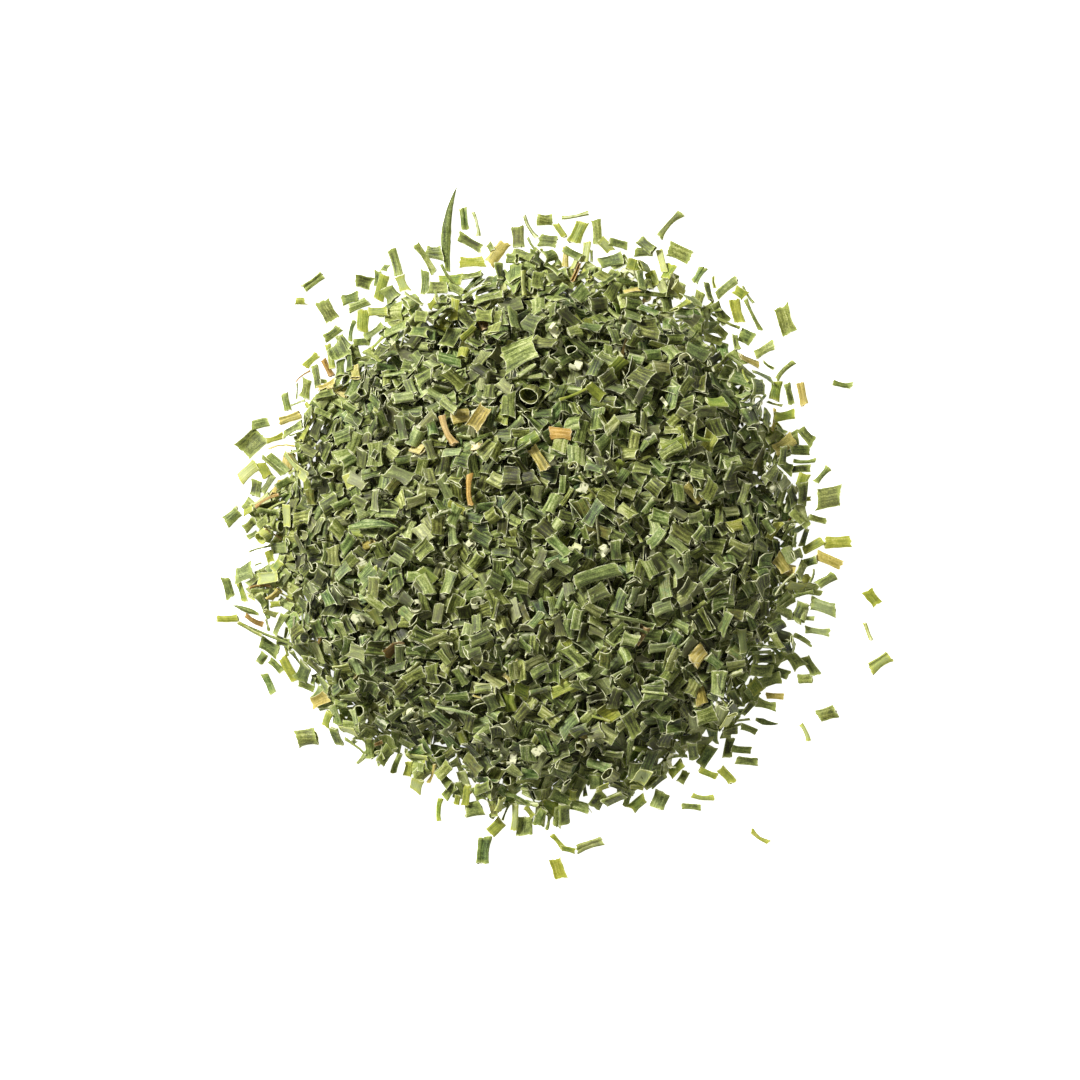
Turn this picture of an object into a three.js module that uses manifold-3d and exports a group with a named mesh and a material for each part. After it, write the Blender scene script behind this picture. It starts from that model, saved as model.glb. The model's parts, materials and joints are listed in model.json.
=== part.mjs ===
// A heap of dried, chopped chives poured on a flat surface, with the single pieces that lie loose round it.
// Units are millimetres and +Z is up. The origin is the centre of the heap's foot, on the surface.
//
// A chive leaf is a thin hollow tube. Cut across and dried, it leaves short pieces that collapse in the
// middle and stay wide at their cut ends. Some stay round, some split open into curled sheets, and a few
// are long leaf tips. The heap's pieces are drawn larger than life, and the single ones at true size.
import * as THREE from "three";
import { mergeVertices } from "three/addons/utils/BufferGeometryUtils.js";
import Module from "manifold-3d";

// ---- Driving dimensions ----
const HEAP_HEIGHT = 19.6; // the core that the pieces stand out of
const HEAP_FULLNESS = 0.8; // 0.5 gives a half ellipse and 1 a parabola
// The dense heap's foot isn't a true circle. These are its radii every 15 degrees from +X towards +Y.
const FOOT_RADII = [
  52, 50.5, 50.5, 51, 53.5, 53, 53, 50, 48.5, 50, 49, 51, 52.5, 53, 52, 51, 49.5, 50, 52, 51, 53, 52, 51, 51,
];
const CORE_RINGS = 5;

const CUT_LENGTH = 6.4; // along the leaf, for a piece of the heap
const CUT_WIDTH = 4.4; // across it, once flat
const CUT_THICKNESS = 1.2;
const FOLDED_SHARE = 0.5; // of the heap's pieces
const LOWEST_TILT = 10; // degrees out of the slope, of a piece of the heap
const HIGHEST_TILT = 40;
const SMALLEST_LIFT = 0.4; // of a piece's middle above the core
const LARGEST_LIFT = 1.3;
const FLARE = 0.3; // how much wider the free end is than the middle
const CUTS_ON_TOP = 256;
const SPREAD = 0.43; // below 0.5, the pieces are denser on the slope than on top
const CUTS_AT_FOOT = 40;
const TUBES_ON_TOP = 10;
const TUBE_DIAMETER = 4.2;
const TUBE_WALL = 0.8;
const FOOT_SPREAD = 4; // how far the foot's pieces lie beyond the core
const TIP_BOW = 0.075; // of a leaf tip, as a share of its length

const SINGLE_THICKNESS = 1.0; // of a single flat piece
const SINGLE_WALL = 0.6; // of a single sheet or round tube
const REST_GAP = 0.32; // left between a single piece and the heap
const DROP_STEP = 0.1; // how finely a piece is lowered onto the heap

const GOLDEN_ANGLE = Math.PI * (3 - Math.sqrt(5));
const FULL_TURN = 2 * Math.PI;
const UP = new THREE.Vector3(0, 0, 1);

// ---- Colours of the dried leaf ----
const GREEN = 0x4f6b35;
const LIGHT = 0x8fa848;
const STRAW = 0xc9a860;
const BROWN = 0x9a6a38;

// ---- The single pieces: form, x and y of the middle, heading in degrees, length, width, colour ----
// A tip is a leaf's pointed end, a flat a collapsed tube, a stick one that rolled up narrow, a sheet one
// that split open, and a tube one that stayed round.
const LOOSE_PIECES = [
  ["tip", -16.6, 61.7, 84, 17.3, 1.9, GREEN],
  ["flat", -14.6, 63.6, 95, 4, 1.8, GREEN],
  ["stick", -12.1, 62.6, 103, 4.8, 1, GREEN],
  ["flat", -13.4, 58.9, -32, 4.8, 2.2, GREEN],
  ["flat", -13, 55, 0, 4.4, 2.4, LIGHT],
  ["sheet", -7.9, 56.8, 52, 5.2, 2.4, STRAW],
  ["flat", -3.8, 60, 88, 3.6, 2.6, GREEN],
  ["stick", -1.5, 62, -60, 4.8, 1, GREEN],
  ["sheet", 1.5, 63.4, 170, 2.8, 2.3, GREEN],
  ["flat", 2.2, 59.2, -15, 2.9, 2.5, GREEN],
  ["stick", 7.7, 64.2, 10, 5.1, 1, GREEN],
  ["flat", 4.6, 61.3, -58, 2.9, 1.4, LIGHT],
  ["flat", 8.2, 60.9, 60, 3.9, 2.8, LIGHT],
  ["flat", 12, 61, 92, 4.4, 2.2, GREEN],
  ["stick", 26.5, 62.5, 47, 6.2, 1.8, GREEN],
  ["flat", 28.5, 56.8, -30, 4, 3, GREEN],
  ["flat", 32.3, 52.4, 55, 3, 1.9, GREEN],
  ["flat", 37.9, 49.9, 39, 4.9, 1.8, GREEN],
  ["flat", 39.9, 45.2, -78, 4.2, 2.3, LIGHT],
  ["stick", 43.1, 44.4, -64, 6.6, 1.2, GREEN],
  ["sheet", 49.6, 43.4, -75, 5.6, 3.2, GREEN],
  ["stick", 61, 30.5, -10, 3.6, 1.4, GREEN],
  ["stick", 49.5, 33.4, 45, 4.8, 1.5, GREEN],
  ["flat", 53, 28.6, -80, 4.2, 1.8, STRAW],
  ["stick", 57, 12.4, 47, 3.7, 1.5, GREEN],
  ["sheet", 58.3, 7.9, 3, 4.3, 3.8, GREEN],
  ["flat", 60.1, -1, 0, 4.6, 2.6, LIGHT],
  ["flat", 58.4, -4.6, -25, 5, 2.2, STRAW],
  ["sheet", 67, -12.1, 120, 3, 2.4, LIGHT],
  ["flat", 57.2, -13.9, -22, 4.6, 2.9, GREEN],
  ["stick", 66.1, -18.8, 110, 3.5, 1, LIGHT],
  ["flat", 56, -18.8, -8, 4.6, 1.9, GREEN],
  ["flat", 68.5, -25.1, 30, 4.1, 2.7, LIGHT],
  ["flat", 58, -35.3, 6, 3, 2.6, GREEN],
  ["stick", 53.6, -39, 112, 3.6, 1.2, LIGHT],
  ["stick", 44.5, -60, 145, 4, 1.4, LIGHT],
  ["stick", 33.1, -52, -8, 4.1, 1.5, LIGHT],
  ["sheet", 4.2, -66.3, 105, 4, 2.4, LIGHT],
  ["flat", 10.5, -61.5, 18, 5, 2.1, GREEN],
  ["stick", 4.1, -60.8, -52, 3.2, 1.2, LIGHT],
  ["flat", -10.7, -62.6, 80, 4.7, 2.9, GREEN],
  ["stick", -19.6, -54.5, 85, 4.3, 1.2, LIGHT],
  ["tube", -46, -40, 10, 4, 4, GREEN],
  ["stick", -53.6, -29.3, 112, 3.9, 1.9, GREEN],
  ["flat", -61.9, -16.3, 0, 3.9, 1.6, LIGHT],
  ["flat", -60.9, 4.1, 35, 3, 2.4, GREEN],
  ["sheet", -57, 18.8, 33, 4.2, 3.8, GREEN],
  ["flat", -49.4, 23.8, 17, 4.1, 1.9, STRAW],
  ["sheet", -41.9, 45.2, -63, 3.9, 2.9, GREEN],
  ["flat", -44.7, 51, 35, 4.4, 1.9, GREEN],
];
const PIECES_ON_HEAP = [
  ["sheet", -11.4, 23.4, 55, 5, 2.8, STRAW],
  ["stick", -17.6, 20.8, -65, 6.2, 1.7, BROWN],
  ["stick", -13.2, 9.2, 92, 5.8, 1.6, BROWN],
  ["flat", 0.4, 15.2, -60, 4.6, 2.4, STRAW],
  ["tip", -32, 1.6, 0, 10.5, 2, GREEN],
  ["flat", 11.6, -7.4, 16, 8.6, 3, GREEN],
  ["sheet", -3.6, 36.4, 20, 6, 5, GREEN],
  ["tube", -1.2, 28, 70, 4, 4, GREEN],
];

// A seeded generator of numbers from 0 to 1, so that the heap is the same every time.
function seeded(seed) {
  let state = seed;
  return () => {
    state = (state + 0x6d2b79f5) | 0;
    let t = Math.imul(state ^ (state >>> 15), 1 | state);
    t = (t + Math.imul(t ^ (t >>> 7), 61 | t)) ^ t;
    return ((t ^ (t >>> 14)) >>> 0) / 4294967296;
  };
}

const between = (random, low, high) => low + (high - low) * random();
const degrees = (angle) => THREE.MathUtils.degToRad(angle);

// ---- The heap's own form ----

// The foot's radius in a direction, with a smooth step from each listed radius to the next.
function footRadius(angle) {
  const count = FOOT_RADII.length;
  const place = THREE.MathUtils.euclideanModulo((angle / FULL_TURN) * count, count);
  const index = Math.floor(place);
  const share = THREE.MathUtils.smoothstep(place - index, 0, 1);
  return THREE.MathUtils.lerp(FOOT_RADII[index], FOOT_RADII[(index + 1) % count], share);
}

function heapHeight(x, y) {
  const share = Math.hypot(x, y) / footRadius(Math.atan2(y, x));
  if (share >= 1) return 0;
  const swell = 0.7 * Math.sin(x * 0.11 + 0.5) * Math.cos(y * 0.13 - 0.4);
  return Math.max(0, (HEAP_HEIGHT + swell) * Math.pow(1 - share * share, HEAP_FULLNESS));
}

function heapNormal(x, y) {
  const step = 0.8;
  const slopeX = (heapHeight(x + step, y) - heapHeight(x - step, y)) / (2 * step);
  const slopeY = (heapHeight(x, y + step) - heapHeight(x, y - step)) / (2 * step);
  return new THREE.Vector3(-slopeX, -slopeY, 1).normalize();
}

// ---- Shapes. Each lies along X, is flat in Z and is centred on the origin ----

function reshape(geometry, move) {
  const position = geometry.getAttribute("position");
  const point = new THREE.Vector3();
  for (let i = 0; i < position.count; i++) {
    move(point.fromBufferAttribute(position, i));
    position.setXYZ(i, point.x, point.y, point.z);
  }
  return geometry;
}

// A tube that dried flat: narrow and thin at its waist, wide and open at its cut ends.
function flatTube({ length, width, thickness, waist }) {
  return reshape(barrel(8, 4), (p) => {
    const open = waist + (1 - waist) * 4 * p.x * p.x;
    p.y *= (width / 2) * open;
    p.z *= (thickness / 2) * (0.4 + 0.6 * open);
    p.x = p.x * length + 0.16 * p.y;
  });
}

// A unit cylinder along X that stands on a flat side.
function barrel(sides, steps) {
  return new THREE.CylinderGeometry(1, 1, 1, sides, steps).rotateY(Math.PI / sides).rotateZ(-Math.PI / 2);
}

// A coarse piece of the heap, flat with four sides or folded along its length with three.
function flaredPiece({ length, width, thickness, sides, skew }) {
  const geometry = barrel(sides, 1);
  if (sides === 4) geometry.scale(1, Math.SQRT2, Math.SQRT2);
  return reshape(geometry, (p) => {
    const flare = 1 + 2 * FLARE * p.x;
    p.y *= (width / 2) * flare;
    p.z *= (thickness / 2) * flare;
    p.x = p.x * length + skew * p.y;
  });
}

// A tube that stayed round, open at both ends.
function roundTube({ length, diameter, wall, sides, squash = 1 }) {
  const outer = diameter / 2;
  const inner = outer - wall;
  const waist = 0.86;
  const profile = [
    [inner, -length / 2],
    [outer, -length / 2],
    [outer * waist, 0],
    [outer, length / 2],
    [inner, length / 2],
    [inner * waist, 0],
    [inner, -length / 2],
  ].map(([radius, along]) => new THREE.Vector2(radius, along));
  const tube = new THREE.LatheGeometry(profile, sides);
  return tube.rotateY(Math.PI / sides).rotateZ(-Math.PI / 2).scale(1, 1, squash);
}

// A piece that split along its side and opened into a curled sheet, arched over its two long edges.
function curledSheet({ length, width, thickness, curl = 0.8 }) {
  return reshape(new THREE.BoxGeometry(length, width, thickness, 2, 4, 1), (p) => {
    const across = (2 * p.y) / width;
    const along = (2 * p.x) / length;
    p.z -= curl * across * across;
    p.y *= 0.84 + 0.16 * along * along;
    p.x += 0.15 * p.y;
  });
}

// The pointed end of a leaf, bowed along its length and flat underneath.
function leafTip({ length, width, thickness }) {
  return reshape(barrel(6, 8), (p) => {
    const along = p.x + 0.5;
    const taper = 0.16 + 0.84 * Math.pow(Math.sin(Math.PI * (0.12 + 0.8 * along)), 0.8);
    p.y = p.y * (width / 2) * taper + 4 * TIP_BOW * length * along * (1 - along);
    p.z = p.z < -0.5 ? -thickness / 3 : p.z * (thickness / 2) * (0.5 + 0.5 * taper);
    p.x *= length;
  });
}

// ---- Solids ----
const wasm = await Module();
wasm.setup();

function solidOf(geometry) {
  const bare = new THREE.BufferGeometry();
  bare.setAttribute("position", geometry.getAttribute("position"));
  bare.setIndex(geometry.index);
  const merged = mergeVertices(bare, 1e-4);
  return new wasm.Manifold(
    new wasm.Mesh({
      numProp: 3,
      vertProperties: merged.getAttribute("position").array,
      triVerts: new Uint32Array(merged.index.array),
    }),
  );
}

function geometryOf(solid) {
  const { vertProperties, triVerts, numProp, numVert } = solid.getMesh();
  const position = new Float32Array(numVert * 3);
  for (let i = 0; i < numVert; i++) {
    position.set(vertProperties.subarray(i * numProp, i * numProp + 3), i * 3);
  }
  const geometry = new THREE.BufferGeometry();
  geometry.setAttribute("position", new THREE.BufferAttribute(position, 3));
  geometry.setIndex(new THREE.BufferAttribute(triVerts, 1));
  return geometry.toNonIndexed();
}

// The frame of a piece that lies at a place on the heap or the surface, turned and tilted.
function placing(place, normal, heading, pitch = 0, roll = 0) {
  const lie = new THREE.Quaternion().setFromUnitVectors(UP, normal);
  const turn = new THREE.Quaternion().setFromEuler(new THREE.Euler(roll, pitch, heading, "ZYX"));
  return new THREE.Matrix4().compose(place, lie.multiply(turn), new THREE.Vector3(1, 1, 1));
}

// The smooth mound inside the heap: a turned dome, pushed out to the lobed foot.
function coreGeometry() {
  const profile = [new THREE.Vector2(0, 0), new THREE.Vector2(1, 0)];
  for (let ring = 1; ring < CORE_RINGS; ring++) {
    profile.push(new THREE.Vector2(Math.cos((ring / CORE_RINGS) * (Math.PI / 2)), 1));
  }
  profile.push(new THREE.Vector2(0, 1));
  const dome = new THREE.LatheGeometry(profile, FOOT_RADII.length).rotateX(Math.PI / 2);
  return reshape(dome, (p) => {
    const radius = footRadius(Math.atan2(p.y, p.x));
    p.x *= radius;
    p.y *= radius;
    p.z = p.z > 0.5 ? heapHeight(p.x, p.y) : 0;
  });
}

// One piece of the heap, half sunk: it widens from its sunk end to its free one.
function cutPiece(random) {
  const length = CUT_LENGTH * between(random, 0.8, 1.25);
  const width = CUT_WIDTH * between(random, 0.7, 1.15);
  const sides = random() < FOLDED_SHARE ? 3 : 4;
  return flaredPiece({ length, width, thickness: CUT_THICKNESS, sides, skew: between(random, -0.3, 0.3) });
}

const coarseTube = () =>
  roundTube({ length: CUT_LENGTH * 0.75, diameter: TUBE_DIAMETER, wall: TUBE_WALL, sides: 6 });

// The pieces that cover the heap, on a spiral that is a little denser on the slope.
function piecesOnTop(random) {
  const pieces = [];
  for (let i = 0; i < CUTS_ON_TOP; i++) {
    const angle = i * GOLDEN_ANGLE + between(random, -0.03, 0.03);
    const radius = 0.985 * footRadius(angle) * Math.pow((i + 0.5) / CUTS_ON_TOP, SPREAD);
    const x = radius * Math.cos(angle);
    const y = radius * Math.sin(angle);
    const round = i % Math.floor(CUTS_ON_TOP / TUBES_ON_TOP) === 5;
    const lift = round ? 1 : between(random, SMALLEST_LIFT, LARGEST_LIFT);
    const pitch = round ? between(random, -50, 50) : -between(random, LOWEST_TILT, HIGHEST_TILT);
    const roll = round ? 0 : between(random, -22, 22);
    const place = new THREE.Vector3(x, y, heapHeight(x, y) + lift);
    const heading = between(random, 0, FULL_TURN);
    const frame = placing(place, heapNormal(x, y), heading, degrees(pitch), degrees(roll));
    pieces.push((round ? coarseTube() : cutPiece(random)).applyMatrix4(frame));
  }
  return pieces;
}

// The pieces that slid to the foot and lie on the surface, against the heap.
function piecesAtFoot(random) {
  const pieces = [];
  for (let i = 0; i < CUTS_AT_FOOT; i++) {
    const angle = ((i + between(random, -0.3, 0.3)) / CUTS_AT_FOOT) * FULL_TURN;
    const radius = footRadius(angle) + FOOT_SPREAD * between(random, -0.15, 0.6);
    const height = CUT_THICKNESS / 2 - 0.1;
    const place = new THREE.Vector3(radius * Math.cos(angle), radius * Math.sin(angle), height);
    const frame = placing(place, UP, angle + between(random, -1.2, 1.2));
    pieces.push(cutPiece(random).applyMatrix4(frame));
  }
  return pieces;
}

// The heap, in one body with a flat foot, clear of the loose pieces beside it.
function heapSolid(looseSolids) {
  const random = seeded(20);
  const pieces = [...piecesOnTop(random), ...piecesAtFoot(random)].map(solidOf);
  const isClear = (piece) => looseSolids.every((loose) => loose.minGap(piece, 1) > REST_GAP);
  const joined = wasm.Manifold.union([solidOf(coreGeometry()), ...pieces.filter(isClear)]);
  const whole = joined.trimByPlane([0, 0, 1], 0);
  return whole.decompose().sort((a, b) => b.volume() - a.volume())[0];
}

// ---- The single pieces ----

function singlePiece(form, length, width) {
  if (form === "tip") return leafTip({ length, width, thickness: SINGLE_THICKNESS });
  if (form === "tube") {
    return roundTube({ length, diameter: width, wall: SINGLE_WALL, sides: 12, squash: 0.8 });
  }
  if (form === "sheet") return curledSheet({ length, width, thickness: SINGLE_WALL });
  return flatTube({ length, width, thickness: SINGLE_THICKNESS, waist: form === "stick" ? 0.86 : 0.76 });
}

function leafMesh(name, geometry, color) {
  const material = new THREE.MeshStandardMaterial({ color, roughness: 0.6, metalness: 0 });
  const mesh = new THREE.Mesh(geometry, material);
  mesh.name = name;
  return mesh;
}

function singleMesh(prefix, [form, , , , length, width, colour], i) {
  const name = `${prefix}_${form}_${String(i + 1).padStart(2, "0")}`;
  return leafMesh(name, singlePiece(form, length, width), colour);
}

function placedSolid(mesh) {
  mesh.updateMatrix();
  return solidOf(mesh.geometry.clone().applyMatrix4(mesh.matrix));
}

// On the surface, on its lowest points.
function lieOnSurface(piece, i) {
  const [, x, y, heading] = piece;
  const mesh = singleMesh("loose", piece, i);
  mesh.geometry.computeBoundingBox();
  mesh.position.set(x, y, -mesh.geometry.boundingBox.min.z);
  mesh.rotation.z = degrees(heading);
  return mesh;
}

// On the heap, along its slope, lowered until only the gap is left under it.
function lieOnHeap(piece, i) {
  const [, x, y, heading] = piece;
  const mesh = singleMesh("top", piece, i);
  const above = new THREE.Vector3(x, y, heapHeight(x, y) + CUT_LENGTH);
  mesh.applyMatrix4(placing(above, heapNormal(x, y), degrees(heading)));
  const solid = placedSolid(mesh);
  let drop = 0;
  while (heap.minGap(solid.translate(0, 0, -drop - DROP_STEP), 1) > REST_GAP) drop += DROP_STEP;
  mesh.position.z -= drop;
  return mesh;
}

// ---- The object ----
const loosePieces = new THREE.Group().add(...LOOSE_PIECES.map(lieOnSurface));
const heap = heapSolid(loosePieces.children.map(placedSolid));
const piecesOnHeap = new THREE.Group().add(...PIECES_ON_HEAP.map(lieOnHeap));

const chives = new THREE.Group();
chives.add(leafMesh("heap", geometryOf(heap), GREEN), loosePieces, piecesOnHeap);

export default chives;
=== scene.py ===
"""A heap of dried, chopped chives, with a few pieces lying loose round its foot.

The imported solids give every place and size. The heap's coarse solid is dressed with cut leaves of true size,
which are laid on one another until they fill the solid's own form. Each single solid is replaced by a finer
leaf in the same place. Everything is in metres, with +Z up, and shapes are first made in millimetres.
"""

import json
import math
import random
from collections import namedtuple

import bmesh
import bpy
import numpy as np
from mathutils import Matrix, Vector, noise
from mathutils.bvhtree import BVHTree


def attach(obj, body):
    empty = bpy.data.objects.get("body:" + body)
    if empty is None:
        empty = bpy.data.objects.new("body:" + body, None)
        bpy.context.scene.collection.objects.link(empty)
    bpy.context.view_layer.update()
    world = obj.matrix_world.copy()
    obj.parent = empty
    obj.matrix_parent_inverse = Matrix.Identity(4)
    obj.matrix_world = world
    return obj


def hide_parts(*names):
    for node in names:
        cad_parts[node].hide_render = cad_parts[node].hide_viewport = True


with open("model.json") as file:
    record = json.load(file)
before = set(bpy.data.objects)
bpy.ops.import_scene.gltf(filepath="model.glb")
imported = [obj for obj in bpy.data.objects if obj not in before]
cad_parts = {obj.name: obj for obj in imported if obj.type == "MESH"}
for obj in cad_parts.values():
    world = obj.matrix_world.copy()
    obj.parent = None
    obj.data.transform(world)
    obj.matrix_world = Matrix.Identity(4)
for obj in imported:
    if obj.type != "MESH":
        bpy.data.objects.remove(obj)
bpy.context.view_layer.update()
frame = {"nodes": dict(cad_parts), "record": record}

MM = 0.001
BODY = "root"

# ---- Driving dimensions, in millimetres ----
LEAF_WALL = 0.13
RIBS_PER_MM = 3.2
CELL = 0.4  # of the grid that the cut leaves are laid on
CORE_DEPTH = 3.4  # from the heap's surface down to the core inside it, whose dark colour is painted shade of the leaves deep in the heap
LAYING_SLACK = 0.7  # a place this much below the heap's form gets one more leaf
LAID_SHARE = 0.93  # of the form's height that is filled, as the last leaves stand out of it
THIN_EDGE = 11.0  # how far in from its foot the heap is only a leaf or two deep
HIDDEN_DEPTH = 3.0  # a leaf that lies all over this deep under others is left out
MOST_FRINGE = 300  # leaves that fill in between those near the foot
FRINGE_WINDOW = 4  # cells each way, over which the floor's cover is judged
EDGE_LIGHT = 0.27  # how much lighter the leaves at the thin edge are painted: painted light of the floor coming through them
SHEET_RISE = 0.22  # of a single sheet's sides over its middle
LOWEST_RISE = {"sheet": SHEET_RISE, "scrap": 0.08}  # of the leaves near the foot that have their own place
TURNED_UP = {"top_tube_08": math.radians(58)}  # how far a single leaf's open end is turned to the sky
SINGLE_TONES = {  # of the single leaves that are plainly darker or lighter than the rest
    "top_sheet_01": 0.3, "top_stick_02": 0.68, "top_stick_03": 0.56, "top_flat_04": 0.4,
    "loose_flat_04": 0.34, "loose_flat_05": 0.84, "loose_flat_07": 0.32, "loose_flat_14": 0.46,
    "loose_sheet_21": 0.72, "loose_sheet_26": 0.48, "loose_sheet_47": 0.62,
}
MOST_TRIANGLES = 180000  # in one piece

# how far past the foot leaves slid off, in mm, every 15 degrees from +X towards +Y
FRINGE_REACHES = (
    3.5, 3.0, 3.5, 5.0, 6.0, 6.0, 6.0, 5.0, 6.5, 6.0, 4.5, 3.5,
    3.5, 5.0, 3.5, 2.5, 2.5, 4.0, 3.5, 3.0, 3.5, 4.0, 4.0, 4.0,
)

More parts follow.
